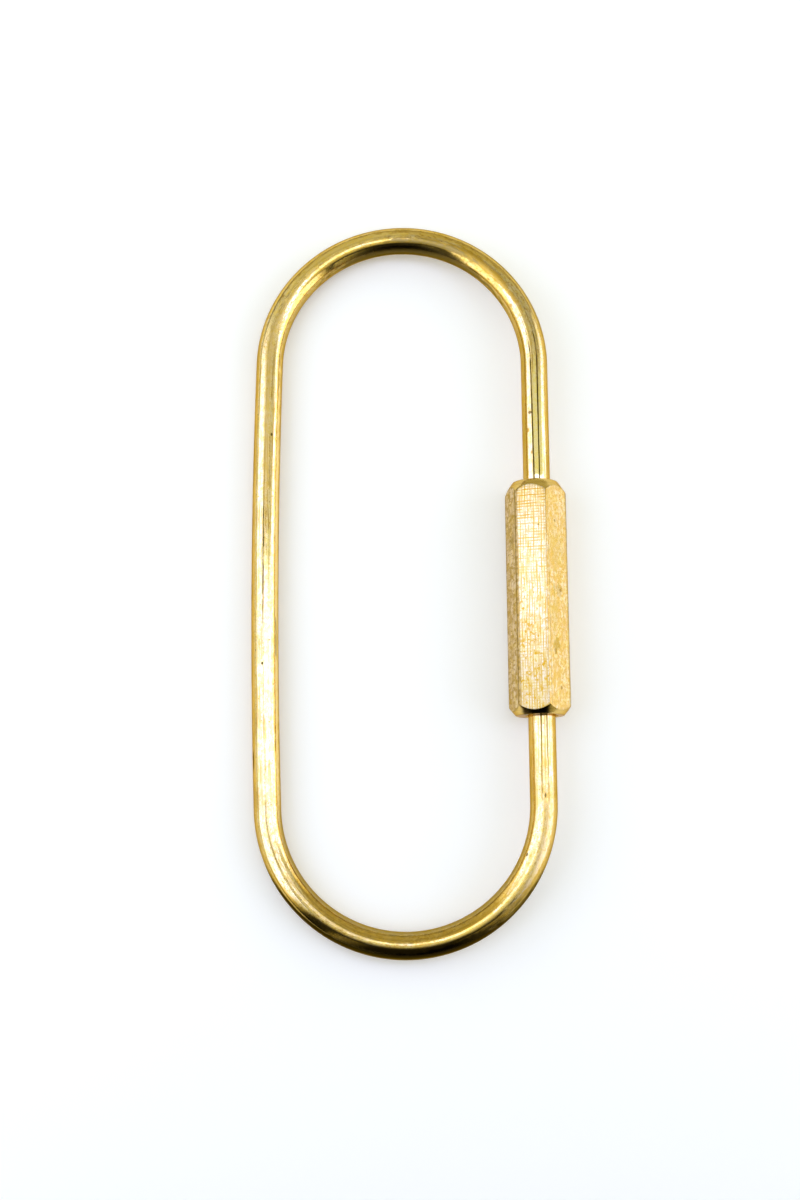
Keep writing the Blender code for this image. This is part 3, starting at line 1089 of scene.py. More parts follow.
@dataclass(frozen=True)
class MilledBrass:
    """Satin hexagonal bar: crossed scratches on its upper flat, which is pale as a painted highlight,
    turned ends and dark edges of painted shade.
    """

    plain: Colour = (0.84, 0.70, 0.47)
    plain_grain: Colour = (0.70, 0.405, 0.05)
    # the left flat's colour, paler than the others' as painted light
    left_flat_colour: Colour = (0.96, 0.83, 0.66)
    left_flat_grain: Colour = (0.48, 0.305, 0.05)
    # painted highlight: the upper flat's pale colour
    painted_highlight: Colour = (0.94, 0.86, 0.73)
    scratch: Colour = (0.63, 0.345, 0.012)
    # the upper flat's colour towards its lower end, darker
    toward_low_end: Colour = (0.55, 0.49, 0.355)
    toward_low_end_scratch: Colour = (0.475, 0.285, 0.02)
    turned: Colour = (0.80, 0.555, 0.17)
    turned_line: Colour = (0.56, 0.37, 0.10)
    # painted shade on the long edges, the creases and the faces' outer rims
    edge: Colour = (0.25, 0.165, 0.045)
    # painted shade inside the bore
    bore: Colour = (0.36, 0.24, 0.08)
    grazing: Colour = (0.70, 0.54, 0.32)
    roughness: float = 0.27
    scratched_roughness: float = 0.34
    turned_roughness: float = 0.17
    dull_roughness: float = 0.45
    flat_edge: float = 1.64 * MM  # the upper flat's, from its middle
    flat_height: float = 2.92 * MM  # over the bar's centre, where the upper flat is in full
    cross_spacing: float = 0.32 * MM  # of the cutter's lines across the upper flat
    long_spacing: float = 0.29 * MM  # of those along it
    grain_scale: float = 3500.0  # features a metre
    break_scale: float = 2400.0
    blotch_scale: float = 1500.0
    cloud_scale: float = 700.0
    line_height: float = 0.0022 * MM  # of the relief
    lathe_height: float = 0.002 * MM
    cloud_height: float = 0.008 * MM
    scratch_depth: float = 0.001 * MM
    pit_depth: float = 0.020 * MM
    marks: tuple[Mark, ...] = (
        Mark(51.0, 9.0, -7.7, 0.7, Tone.STAIN_AND_PAINTED_SHADE, 0.75, raggedness=1.8),
        Mark(47.0, 4.0, -8.4, 0.3, Tone.RUST, 0.6, raggedness=1.8),
        Mark(58.0, 10.0, -1.6, 0.8, Tone.STAIN_AND_PAINTED_SHADE, 0.45, raggedness=3.2),
        Mark(66.0, 3.0, -1.6, 0.16, Tone.RUST, 0.8),
        Mark(53.0, 2.5, 6.1, 0.13, Tone.RUST, 0.8),
        Mark(63.0, 3.0, -12.3, 0.2, Tone.RUST, 0.7),
        Mark(-54.0, 9.0, 4.1, 0.5, share=0.3, raggedness=2.8),
        Mark(-28.0, 5.0, 9.9, 0.4, share=0.5, raggedness=1.8),
        Mark(58.0, 20.0, 3.0, 2.2, Tone.WORN, 0.35, raggedness=2.4),
        Mark(46.0, 10.0, -4.0, 2.6, Tone.WORN, 0.35, raggedness=2.4),
    )

    def scratches(self, reading: SleeveReading, across: Socket) -> tuple[Socket, Socket]:
        """The upper flat: crossed lines above, fading to specks below; pale as a painted highlight, and
        darker towards its lower end.

        Args:
            reading: What is known of the place.
            across: The cutter's lines across the flat.

        Returns:
            How scratched it is, and its colour.
        """
        wiring = reading.wiring
        lengthwise = EffectGroup.place(
            wiring, "hatch", Place=reading.place, Height=reading.sideways, Spacing=self.long_spacing,
            Stretch=Grain.LENGTHWISE.value,
        ).outputs[0]
        ragged_along = wiring.math("MULTIPLY_ADD", reading.wobble, 30 * MM, reading.along)
        crossed = wiring.product(across, wiring.ramp(ragged_along, -4 * MM, 9 * MM, 0.45, 1.0))
        specks = wiring.ramp(reading.speckle, 0.53, 0.61)
        low_specks = wiring.product(specks, wiring.ramp(ragged_along, 4 * MM, -9 * MM, 0.55, 1.0))
        lengthwise = wiring.product(lengthwise, 0.9)
        share = wiring.highest(lengthwise, reading.faint_lines, crossed, low_specks)
        # pale painted highlight, darker towards the lower end
        low_down = wiring.ramp(reading.along, 3 * MM, -13 * MM)
        metal = wiring.blend(low_down, self.painted_highlight, self.toward_low_end)
        line = wiring.blend(low_down, self.scratch, self.toward_low_end_scratch)
        return share, wiring.blend(share, metal, line)

    def side_flats(self, reading: SleeveReading) -> Socket:
        """The speckled flats beside the upper one, with longer grain on the left one, which is paler as
        painted light.

        Args:
            reading: What is known of the place.

        Returns:
            Their colour.
        """
        wiring = reading.wiring
        on_left = wiring.ramp(reading.sideways, -1.6 * MM, -2.0 * MM)
        drawn_out = reading.fine_grain(self, (0.3, 0.3, 0.8))
        grain = wiring.toward(reading.speckle, drawn_out, on_left)
        speckled = wiring.ramp(grain, 0.45, 0.58, 0.0, 0.9)
        lengthened = wiring.scaled(reading.place, (1.0, 1.0, 0.5))
        blotch_noise = wiring.noise(lengthened, self.blotch_scale, detail=3.0, rough=0.65)
        blotches = wiring.ramp(blotch_noise, 0.42, 0.60, 0.0, 0.75)
        share = wiring.product(wiring.highest(reading.faint_lines, blotches, speckled), 0.9)
        # painted light: the left flat paler than the others
        metal = wiring.blend(on_left, self.plain, self.left_flat_colour)
        return wiring.blend(share, metal, wiring.blend(on_left, self.plain_grain, self.left_flat_grain))

    def turned_ends(self, reading: SleeveReading, lathe: Socket) -> Socket:
        """The cones and end faces, with a painted black reflection in the middle of the lower cone.

        Args:
            reading: What is known of the place.
            lathe: The lathe's lines.

        Returns:
            Their colour.
        """
        wiring = reading.wiring
        cone = wiring.blend(wiring.product(lathe, 0.6), self.turned, self.turned_line)
        ragged = wiring.math("MULTIPLY_ADD", reading.wobble, 0.9 * MM, reading.sideways)
        # painted black reflection in the middle of the lower cone
        black_reflection_share = wiring.product(
            wiring.ramp(wiring.math("ABSOLUTE", ragged), 1.75 * MM, 1.25 * MM),
            wiring.ramp(reading.along, -14.0 * MM, -14.35 * MM),
            wiring.ramp(reading.upright, 1.0 * MM, 1.6 * MM),
        )
        return wiring.blend(wiring.product(black_reflection_share, 0.95), cone, Tone.PAINTED_BLACK_REFLECTION.value)

    def build(self) -> bpy.types.Material:
        """Builds the material on the bar's own coordinates, with its flats square to them.

        Returns:
            The material.
        """
        material, wiring, shader = new_metal("milled_brass_sleeve", self.grazing)
        reading = SleeveReading(wiring, self)
        place, turned = reading.place, reading.turned
        across = EffectGroup.place(
            wiring, "hatch", Place=place, Height=reading.along, Spacing=self.cross_spacing,
            Stretch=Grain.CROSSWISE.value,
        ).outputs[0]
        lathe = EffectGroup.place(
            wiring, "fine_lines", Place=place, Stretch=Grain.TURNED.value,
            Fineness=9000.0, Level=0.5, Softness=0.2, Patchiness=0.3,
        )
        pits = EffectGroup.place(
            wiring, "pits", Place=place, Spacing=1300.0, Radius=0.13, Coverage=0.05,
        ).outputs[0]

        scratched, scratched_colour = self.scratches(reading, across)
        flat = wiring.blend(reading.upper_flat, self.side_flats(reading), scratched_colour)
        flat, dull = place_marks(self.marks, wiring, place, flat)
        flat = wiring.blend(wiring.product(pits, 0.7), flat, Tone.DIRT.value)
        flat = add_golden_grain(wiring, place, (0.6, 0.6, 0.5), 0.55, flat)
        colour = wiring.blend(turned, flat, self.turned_ends(reading, lathe.outputs["Lines"]))
        # painted shade inside the bore
        colour = wiring.blend(reading.bored, colour, self.bore)
        broken = wiring.ramp(wiring.noise(place, self.break_scale), 0.38, 0.56, 1.0, 0.75)
        # painted shade on the edges, broken up by noise
        colour = wiring.blend(wiring.product(reading.edge, broken), colour, self.edge)
        wiring.feed(shader.inputs["Base Color"], colour)

        half_scratched = wiring.product(scratched, reading.upper_flat, 0.5)
        rough = wiring.toward(self.roughness, self.scratched_roughness, half_scratched)
        rough = wiring.toward(rough, self.turned_roughness, turned)
        wiring.feed(shader.inputs["Roughness"], wiring.toward(rough, self.dull_roughness, dull))
        add_relief(
            wiring, shader,
            wiring.product(reading.line_relief, self.line_height),
            wiring.product(across, reading.upper_flat, -self.scratch_depth),
            wiring.product(lathe.outputs["Raw"], turned, self.lathe_height),
            wiring.product(reading.cloud, self.cloud_height),
            wiring.product(pits, -self.pit_depth),
        )
        return material


# The two sub-assemblies


@dataclass
class BentRod:
    """One brass rod: a capsule-shaped loop, open in one leg, with a thread on each end."""

    plane: LoopPlane = field(default_factory=LoopPlane)
    screw: ScrewThread = field(default_factory=ScrewThread)
    straight_length: float = 49.3 * MM
    upper_tip: float = 6.85 * MM  # places along Y
    upper_shoulder: float = 10.70 * MM
    lower_tip: float = 1.35 * MM
    lower_shoulder: float = -12.15 * MM
    tip_radius: float = 0.9 * MM
    run_out: float = 0.45 * MM  # of the thread, into the full rod
    columns: int = 88
    station_gap: float = 0.5 * MM

    @property
    def angles(self) -> Array:
        """Each column's angle about the rod, from up towards the outside of the loop."""
        return np.linspace(0, TAU, self.columns, endpoint=False)

    def arc(
        self, centre: tuple[float, float], size: float, start: float, end: float
    ) -> tuple[Array, Array]:
        """Points of an arc in the loop's plane.

        Args:
            centre: Its centre.
            size: Its radius.
            start: The angle where it starts, from +X towards +Y.
            end: The angle where it ends.

        Returns:
            The points, and the directions away from the centre.
        """
        steps = max(2, round(size * abs(end - start) / self.station_gap))
        turns = np.linspace(start, end, steps + 1)
        away = np.stack([np.cos(turns), np.sin(turns)], axis=-1)
        return np.array(centre) + size * away, away

    def straight(self, start: float, end: float) -> tuple[Array, Array]:
        """Points up or down the open leg.

        Args:
            start: Where they start along Y.
            end: Where they end.

        Returns:
            The points, and the directions away from the loop.
        """
        steps = max(2, round(abs(end - start) / (2 * self.station_gap)))
        heights = np.linspace(start, end, steps + 1)
        places = np.stack([np.full_like(heights, self.plane.bend_radius), heights], axis=-1)
        return places, np.tile([1.0, 0.0], (len(heights), 1))

    def route(self) -> tuple[Array, Array, Array]:
        """The centre line from the upper thread's shoulder round to the lower one's.

        Both bends are half circles, and the unbroken leg is one shallow arc that touches them: its
        radius less theirs is (half^2 + bow^2) / (2 bow), with half of the straight length.

        Returns:
            Places in the loop's plane, the outward direction at each, and the length so far.
        """
        half, radius, bow = self.straight_length / 2, self.plane.bend_radius, self.plane.leg_bow
        centre_distance = (half**2 + bow**2) / (2 * bow)
        touch = math.asin(half / centre_distance)
        leg_centre, leg_radius = (centre_distance - bow, 0), centre_distance + radius
        parts = [
            self.straight(self.upper_shoulder, half),
            self.arc((0, half), radius, 0, math.pi - touch),
            self.arc(leg_centre, leg_radius, math.pi - touch, math.pi + touch),
            self.arc((0, -half), radius, math.pi + touch, TAU),
            self.straight(-half, self.lower_shoulder),
        ]
        places = np.concatenate([parts[0][0]] + [part[0][1:] for part in parts[1:]])
        away = np.concatenate([parts[0][1]] + [part[1][1:] for part in parts[1:]])
        steps = np.linalg.norm(np.diff(places, axis=0), axis=1)
        return places, away, np.concatenate([[0.0], np.cumsum(steps)])

    def skin(self, centre: Array, away: Array, angle: Array, radius: Array, travelled: Array) -> Marked:
        """Points on the rod's surface.

        A point is centre + radius * (cos(angle) * up + sin(angle) * away), with up square to the
        loop's plane.

        Args:
            centre: Centre line places in the plane.
            away: Outward directions in the plane.
            angle: Angles about the centre line, from up towards the outside.
            radius: The rod's radius there.
            travelled: Length along the rod.

        Returns:
            The points, and their marks: where each would lie if the rod were straight, and how
            far it faces the front.
        """
        outwards, upwards = radius * np.sin(angle), radius * np.cos(angle)
        points = self.plane.place(
            centre[..., 0] + outwards * away[..., 0], centre[..., 1] + outwards * away[..., 1], upwards
        )
        size = self.plane.rod_radius
        straightened = np.stack(
            np.broadcast_arrays(size * np.sin(angle), size * np.cos(angle), travelled), axis=-1
        )
        facing_front = np.broadcast_to(-np.sin(angle) * away[..., 1], points.shape[:-1])
        return points, {"straightened": straightened, "facing_front": facing_front}

    def end_skin(
        self, height: Array, column: Array, tip: float, shoulder: float, travelled_at: float
    ) -> Marked:
        """Points on a threaded end.

        The radius is the thread's, its grooves fading out over the run-out, and no more than a
        45 degree cone from the tip.

        Args:
            height: Places along Y.
            column: Column numbers.
            tip: Y of the end's tip.
            shoulder: Y of its shoulder.
            travelled_at: Length along the rod at the shoulder.

        Returns:
            The points and their marks.
        """
        screw, angle = self.screw, self.angles[column]
        ridge = screw.ridge(height, angle - self.plane.lean)
        fade = np.clip(np.abs(shoulder - height) / self.run_out, 0, 1)
        threaded = screw.rod_crest - (screw.rod_crest - screw.rod_root) * (1 - ridge) * fade
        radius = np.minimum(threaded, self.tip_radius + np.abs(height - tip))
        centre = np.stack(np.broadcast_arrays(self.plane.bend_radius, height), axis=-1)
        away = np.broadcast_to(np.array([1.0, 0.0]), centre.shape)
        return self.skin(centre, away, angle, radius, travelled_at + height - shoulder)

    def add_end(
        self, surface: RingSurface, shoulder_ring: Array, tip: float, shoulder: float, travelled_at: float
    ) -> None:
        """Adds a threaded end, from its shoulder to its cap.

        Args:
            surface: The rod's surface.
            shoulder_ring: Indices of the loop's ring at the shoulder.
            tip: Y of the end's tip.
            shoulder: Y of its shoulder.
            travelled_at: Length along the rod at the shoulder.
        """
        shape = partial(self.end_skin, tip=tip, shoulder=shoulder, travelled_at=travelled_at)
        tip_ring = surface.add(*shape(np.full(self.columns, tip), np.arange(self.columns)))
        is_upper = shoulder > tip
        low_ring, high_ring = (tip_ring, shoulder_ring) if is_upper else (shoulder_ring, tip_ring)
        heights = (min(tip, shoulder), max(tip, shoulder))
        turns = self.angles - self.plane.lean
        surface.thread(low_ring, high_ring, heights, turns, self.screw.pitch, self.screw.phases(), shape)
        middle = np.array([[self.plane.bend_radius, tip]])
        nothing = np.zeros(1)
        centre = surface.add(*self.skin(middle, np.array([[1.0, 0.0]]), nothing, nothing, nothing))
        surface.close(tip_ring, int(centre[0]), at_start=is_upper)

    def build(self) -> bpy.types.Object:
        """Builds the rod: the plain loop, then a thread and a cap on each of its ends.

        Returns:
            The piece.
        """
        surface = RingSurface(self.columns)
        places, away, travelled = self.route()
        radius = np.full((len(places), 1), self.plane.rod_radius - self.plane.inset)
        radius[[0, -1]] = self.screw.rod_crest
        loop = surface.add(
            *self.skin(places[:, None], away[:, None], self.angles[None], radius, travelled[:, None])
        )
        surface.stack(loop)
        self.add_end(surface, loop[0], self.upper_tip, self.upper_shoulder, 0.0)
        self.add_end(surface, loop[-1], self.lower_tip, self.lower_shoulder, travelled[-1])
        return surface.to_object("threaded_rod", SHARP_ANGLE)


@dataclass
class HexSleeve:
    """The sleeve: hexagonal bar with turned ends, tapped from above and bored clear below.

    Every ring has the same columns. They stand where the bar's outline has its points, seen from
    the bar's centre, and keep those directions in the bore, seen from its own.
    """

    plane: LoopPlane = field(default_factory=LoopPlane)
    screw: ScrewThread = field(default_factory=ScrewThread)
    low: float = -15.15 * MM  # places along Y
    high: float = 10.85 * MM
    upper_depth: float = 0.91 * MM  # of the turned cone, inwards from the flats' corners
    upper_length: float = 1.38 * MM
    lower_depth: float = 0.81 * MM
    lower_length: float = 0.97 * MM
    tapped_to: float = -2.15 * MM
    clear_radius: float = 1.70 * MM
    clear_rows: int = 8
    mouth_radius: float = 1.80 * MM
    mouth_depth: float = 0.25 * MM
    outlet_radius: float = 1.85 * MM
    outlet_depth: float = 0.15 * MM
    step_height: float = 0.15 * MM
    crease_rounding: float = 0.05 * MM
    face_break: float = 0.04 * MM
    middle_rows: int = 20
    # painted shade along each long edge, by edge, and in the creases
    edge_shade: tuple[float, ...] = (0.45, 0.7, 0.7, 0.7, 0.7, 1.0)  # clockwise from the upper flat
    edge_fade: float = 0.13 * MM
    crease_shade: float = 0.4
    crease_fade: float = 0.06 * MM
    turned_fade: float = 0.02 * MM  # from the lathe's cut to the drawn flats
    edge_gap: Array = field(init=False)  # of each column, like the next four
    edge_number: Array = field(init=False)
    reach: Array = field(init=False)
    facing: Array = field(init=False)
    turns: Array = field(init=False)
    bore_centre: Array = field(init=False)  # as (x, z), like the bar's
    bar_centre: Array = field(init=False)

    def __post_init__(self) -> None:
        """Works out the columns from the bar's outline, and the two centres."""
        outline, self.edge_gap, self.edge_number = self.plane.bar.outline()
        distance = np.linalg.norm(outline, axis=1)
        self.reach = distance - self.plane.inset
        self.facing = outline / distance[:, None]
        self.turns = np.unwrap(np.arctan2(outline[:, 0], outline[:, 1]))
        self.bore_centre = np.array([self.plane.bore_x, self.plane.bore_z])
        self.bar_centre = self.bore_centre - np.array([self.plane.bore_offset, 0.0])

    def outer_rows(self) -> tuple[Array, Array, Array]:
        """The outside from the lower face's edge to the upper one's.

        The radius is the soft minimum of the bar's own and of the two cones, which is what a
        lathe leaves of a hexagonal bar. A column's rows gather round the height at which its
        cone meets the bar, so the curved creases lie on rows.

        Returns:
            Heights, radii and the distance to the nearest crease, each of rows by columns.
        """
        shares = np.array([0.05, 0.3, 0.6, 0.82, 0.94, 1.0])[:, None]  # from a face to its crease
        past = np.array([0.03, 0.08, 0.2, 0.6])[:, None] * MM  # rows beyond a crease
        corner = self.plane.bar.corner_radius
        upper_face, lower_face = corner - self.upper_depth, corner - self.lower_depth
        upper_slope = self.upper_length / self.upper_depth
        lower_slope = self.lower_length / self.lower_depth
        upper_crease = self.high - (self.reach - upper_face) * upper_slope
        lower_crease = self.low + (self.reach - lower_face) * lower_slope
        below = self.low + shares * (lower_crease - self.low)
        above = self.high + shares * (upper_crease - self.high)
        start, end = lower_crease + past[-1], upper_crease - past[-1]
        middle = start + np.linspace(0, 1, self.middle_rows + 2)[1:-1, None] * (end - start)
        heights = np.concatenate(
            [below, lower_crease + past, middle, (upper_crease - past)[::-1], above[::-1]]
        )
        upper_cone = upper_face + (self.high - heights) / upper_slope
        lower_cone = lower_face + (heights - self.low) / lower_slope
        bar = np.broadcast_to(self.reach, heights.shape)
        radii = soft_min(soft_min(bar, upper_cone, self.crease_rounding), lower_cone, self.crease_rounding)
        off_crease = np.minimum(upper_crease - heights, heights - lower_crease)
        return heights, radii, off_crease

    def bore_radius(self, height: Array, turn: Array) -> Array:
        """The bore's radius: the thread's, widened by the countersink and by the clear bore.

        Args:
            height: Places along Y.
            turn: Angles about the bore.

        Returns:
            The radii.
        """
        screw = self.screw
        depth = screw.sleeve_groove - screw.sleeve_crest
        threaded = screw.sleeve_crest + depth * screw.ridge(height, turn, screw.play)
        mouth = self.mouth_radius - (self.high - height)
        clear = self.clear_radius - np.maximum(height - (self.tapped_to - self.step_height), 0)
        return np.maximum(threaded, np.maximum(mouth, clear))

    def marked(
        self,
        across: Array,
        height: Union[Array, float],
        dark: Union[Array, float] = 0.0,
        turned: Union[Array, float] = 1.0,
        bored: float = 0.0,
    ) -> Marked:
        """Points of the sleeve, with what its finish reads there.

        Args:
            across: Places as (x, z).
            height: Places along Y.
            dark: How far each is a dark edge.
            turned: How far the lathe cut it.
            bored: Whether it lies in the bore.

        Returns:
            The points and their marks.
        """
        places = np.stack(np.broadcast_arrays(across[..., 0], height, across[..., 1]), axis=-1)
        cosine, sine = math.cos(self.plane.bar.roll), math.sin(self.plane.bar.roll)
        off = across - self.bar_centre
        upright = off[..., 1] * cosine - off[..., 0] * sine
        sideways = off[..., 0] * cosine + off[..., 1] * sine
        bar_place = np.stack(np.broadcast_arrays(sideways, upright, height), axis=-1)
        values = {"dark_edge": dark, "turned": turned, "bored": bored}
        marks = {name: np.broadcast_to(value, places.shape[:-1]) for name, value in values.items()}
        return places, marks | {"bar_place": bar_place}

    def circle(
        self, centre: Array, radius: Union[Array, float], column: Union[Array, slice] = slice(None)
    ) -> Array:
        """Points as (x, z) at a radius from a centre, in the columns' directions."""
        return centre + np.asarray(radius)[..., None] * self.facing[column]

    def add_outside(self, surface: RingSurface) -> Array:
        """Adds the outside, with painted shade along its edges and creases.

        Args:
            surface: The sleeve's surface.

        Returns:
            Its rings' indices, from the lowest up.
        """
        heights, radii, off_crease = self.outer_rows()
        edge_shade_share = np.array(self.edge_shade)[self.edge_number]
        near_edge = edge_shade_share * np.exp(-((self.edge_gap / self.edge_fade) ** 2)) * (off_crease > 0)
        near_crease = self.crease_shade * np.exp(-np.abs(off_crease) / self.crease_fade)
        dark = np.maximum(near_edge, near_crease)
        turned = np.clip(0.5 - off_crease / self.turned_fade, 0, 1)
        return surface.add(*self.marked(self.circle(self.bar_centre, radii), heights, dark, turned))

    def add_face(self, surface: RingSurface, height: float, bar_radius: float, bore_radius: float) -> Array:
        """Adds an end face, with its outer edge broken.

        Args:
            surface: The sleeve's surface.
            height: Y of the face.
            bar_radius: Radius of its outer edge.
            bore_radius: Radius of the bore's mouth in it.

        Returns:
            Its rings' indices, from the outer edge inwards.
        """
        blunted = 0.3 * self.face_break
        edge = self.circle(self.bar_centre, bar_radius - blunted)
        outer = self.circle(self.bar_centre, bar_radius - self.face_break)
        inner = self.circle(self.bore_centre, bore_radius)
        shares = np.array([0.0, 0.3, 0.65, 1.0])[:, None, None]
        flat = surface.add(*self.marked(outer + shares * (inner - outer), height))
        rim_height = height - math.copysign(blunted, height)
        # painted shade on the face's outer rim
        rim = surface.add(*self.marked(edge[None], rim_height, dark=1.0))
        return np.concatenate([rim, flat])

    def bore_skin(self, height: Array, column: Array) -> Marked:
        """Points of the bore, for heights and column numbers."""
        radius = self.bore_radius(height, self.turns[column])
        return self.marked(self.circle(self.bore_centre, radius, column), height, bored=1.0)

    def add_bore(self, surface: RingSurface) -> tuple[Array, Array]:
        """Adds the tapped bore, and the clear one below it.

        Args:
            surface: The sleeve's surface.

        Returns:
            Indices of the ring over the thread, and of those from its foot to the outlet.
        """
        top, foot = self.high - self.mouth_depth, self.tapped_to - self.step_height
        every = np.arange(surface.columns)
        top_ring = surface.add(*self.bore_skin(np.full(surface.columns, top), every))
        foot_ring = surface.add(*self.bore_skin(np.full(surface.columns, foot), every))
        phases = self.screw.phases(self.screw.play)
        surface.thread(
            foot_ring, top_ring, (foot, top), self.turns, self.screw.pitch, phases, self.bore_skin,
            inside=True,
        )
        heights = np.linspace(foot, self.low + self.outlet_depth, self.clear_rows + 1)[1:, None]
        radii = np.full((self.clear_rows, surface.columns), self.clear_radius)
        clear = surface.add(*self.marked(self.circle(self.bore_centre, radii), heights, bored=1.0))
        return top_ring, np.concatenate([foot_ring[None], clear])

    def build(self) -> bpy.types.Object:
        """Builds the sleeve: outside, upper face, bore and lower face, as one ring of rings.

        Returns:
            The piece.
        """
        surface = RingSurface(len(self.turns))
        corner = self.plane.bar.corner_radius
        outside = self.add_outside(surface)
        upper = self.add_face(surface, self.high, corner - self.upper_depth, self.mouth_radius)
        lower = self.add_face(surface, self.low, corner - self.lower_depth, self.outlet_radius)[::-1]
        thread_top, below_thread = self.add_bore(surface)
        surface.stack(np.concatenate([lower, outside, upper, thread_top[None]]))
        surface.stack(np.concatenate([below_thread, lower[:1]]))
        return surface.to_object("tapped_hex_sleeve", SHARP_ANGLE)


# The studio


class Axis(Enum):
    """The frame's axes, by number."""

    X = 0
    Y = 1
    Z = 2


@dataclass(frozen=True)
class Fade:
    """A smooth change of a card's light along one axis: first at the start, and last at the end."""

    axis: Axis
    start: float
    end: float
    first: float
    last: float


@dataclass(frozen=True)
class Card:
    """One glowing side of the light tent: a rectangle that only reflections and shading see.

    Its light has the first tint where it shines in full, and the second where it is dim.
    """

    name: str
    lowest: tuple[float, float, float]
    highest: tuple[float, float, float]
    radiance: float
    tint: Colour
    dim_tint: Colour
    fades: tuple[Fade, ...] = ()

    def build(self) -> None:
        """Makes the card: a flat rectangle between two corners that agree on one axis."""
        low, high = np.array(self.lowest), np.array(self.highest)
        first, second = np.flatnonzero(high > low)
        corners = np.tile(low, (4, 1))
        corners[[1, 2], first] = high[first]
        corners[[2, 3], second] = high[second]
        mesh = bpy.data.meshes.new(self.name)
        mesh.from_pydata(corners, [], [[0, 1, 2, 3]])
        mesh.materials.append(self.light())
        card = bpy.data.objects.new(self.name, mesh)
        card.visible_camera = False
        bpy.context.scene.collection.objects.link(card)

    def light(self) -> bpy.types.Material:
        """Builds the card's glow: its radiance times each of its fades at that place.

        Returns:
            The material.
        """
        material = bpy.data.materials.new(self.name)
        material.use_nodes = True
        wiring = Wiring(material.node_tree)
        place = wiring.add("ShaderNodeTexCoord", {}).outputs["Object"]
        axes = wiring.add("ShaderNodeSeparateXYZ", {0: place}).outputs
        shares = [
            wiring.ramp(axes[fade.axis.value], fade.start, fade.end, fade.first, fade.last)
            for fade in self.fades
        ]
        share = wiring.product(1.0, *shares)
        tint = wiring.blend(wiring.ramp(share, 0.4, 1.0), self.dim_tint, self.tint)
        strength = wiring.product(share, self.radiance)
        glow = wiring.add("ShaderNodeEmission", {"Color": tint, "Strength": strength})
        output = material.node_tree.nodes["Material Output"]
        wiring.feed(output.inputs["Surface"], glow.outputs[0])
        return material


@dataclass
class LightTent:
    """A box-shaped light tent, as the reflections in the photographed brass show it.

    It has bright side walls, a bright strip in its roof, a dim back wall and a black front.
    """

    left: float = -0.130
    right: float = 0.212
    front: float = -0.215
    back: float = 0.190
    roof: float = 0.285
    left_radiance: float = 2.1
    right_radiance: float = 2.25
    roof_radiance: float = 2.3
    back_radiance: float = 0.6
    front_radiance: float = 0.012
    cool: Colour = (0.96, 1.0, 1.22)
    warm: Colour = (1.0, 0.98, 0.60)
    right_split: float = 0.065  # where the right wall's two cards meet, along Y
    roof_split: float = -0.012

    def cards(self) -> tuple[Card, ...]:
        """The sides that stand on or over the floor: the right wall and the roof in two cards each.

        Returns:
            The cards.
        """
        left, right, front, back, roof = self.left, self.right, self.front, self.back, self.roof
        cool, warm = self.cool, self.warm
        return (
            Card(
                "left_wall", (left, front, 0), (left, back, roof), self.left_radiance, cool, warm,
                (
                    Fade(Axis.Y, -0.150, -0.085, 0.01, 1),
                    Fade(Axis.Y, 0.050, 0.140, 1, 0.35),
                    Fade(Axis.Z, 0.018, 0.055, 0.4, 1),
                ),
            ),
            Card(
                "right_wall", (right, front, 0), (right, self.right_split, roof), self.right_radiance,
                cool, warm,
                (Fade(Axis.Y, -0.190, -0.100, 0.01, 1), Fade(Axis.Z, 0, 0.050, 0.45, 1)),
            ),
            Card(
                "right_wall_behind", (right, self.right_split, 0), (right, back, roof),
                self.right_radiance, cool, warm,
                (
                    Fade(Axis.Y, 0.060, 0.260, 1, 0.2),
                    Fade(Axis.Z, 0, 0.050, 0.45, 1),
                    Fade(Axis.Z, 0.12, 0.20, 1, 0.4),
                ),
            ),
            Card(
                "back_wall", (left, back, 0), (right, back, roof), self.back_radiance, warm, warm,
                (Fade(Axis.Z, 0, 0.12, 0.85, 1), Fade(Axis.Z, 0.15, 0.26, 1, 0.8)),
            ),
            Card(
                "black_front", (left, front, 0), (right, front, roof), self.front_radiance, warm, warm,
                (Fade(Axis.X, -0.130, -0.068, 22, 1), Fade(Axis.X, 0.045, 0.190, 1, 45)),
            ),
            Card(
                "roof_front", (left, front, roof), (right, self.roof_split, roof), self.roof_radiance,
                cool, warm, (Fade(Axis.Y, -0.180, -0.015, 0.01, 0.45),),
            ),
            Card(
                "roof_back", (left, self.roof_split, roof), (right, back, roof), self.roof_radiance,
                cool, warm,
                (Fade(Axis.Y, 0.054, 0.062, 1, 0.4), Fade(Axis.Y, 0.062, 0.160, 1, 0.65)),
            ),
        )


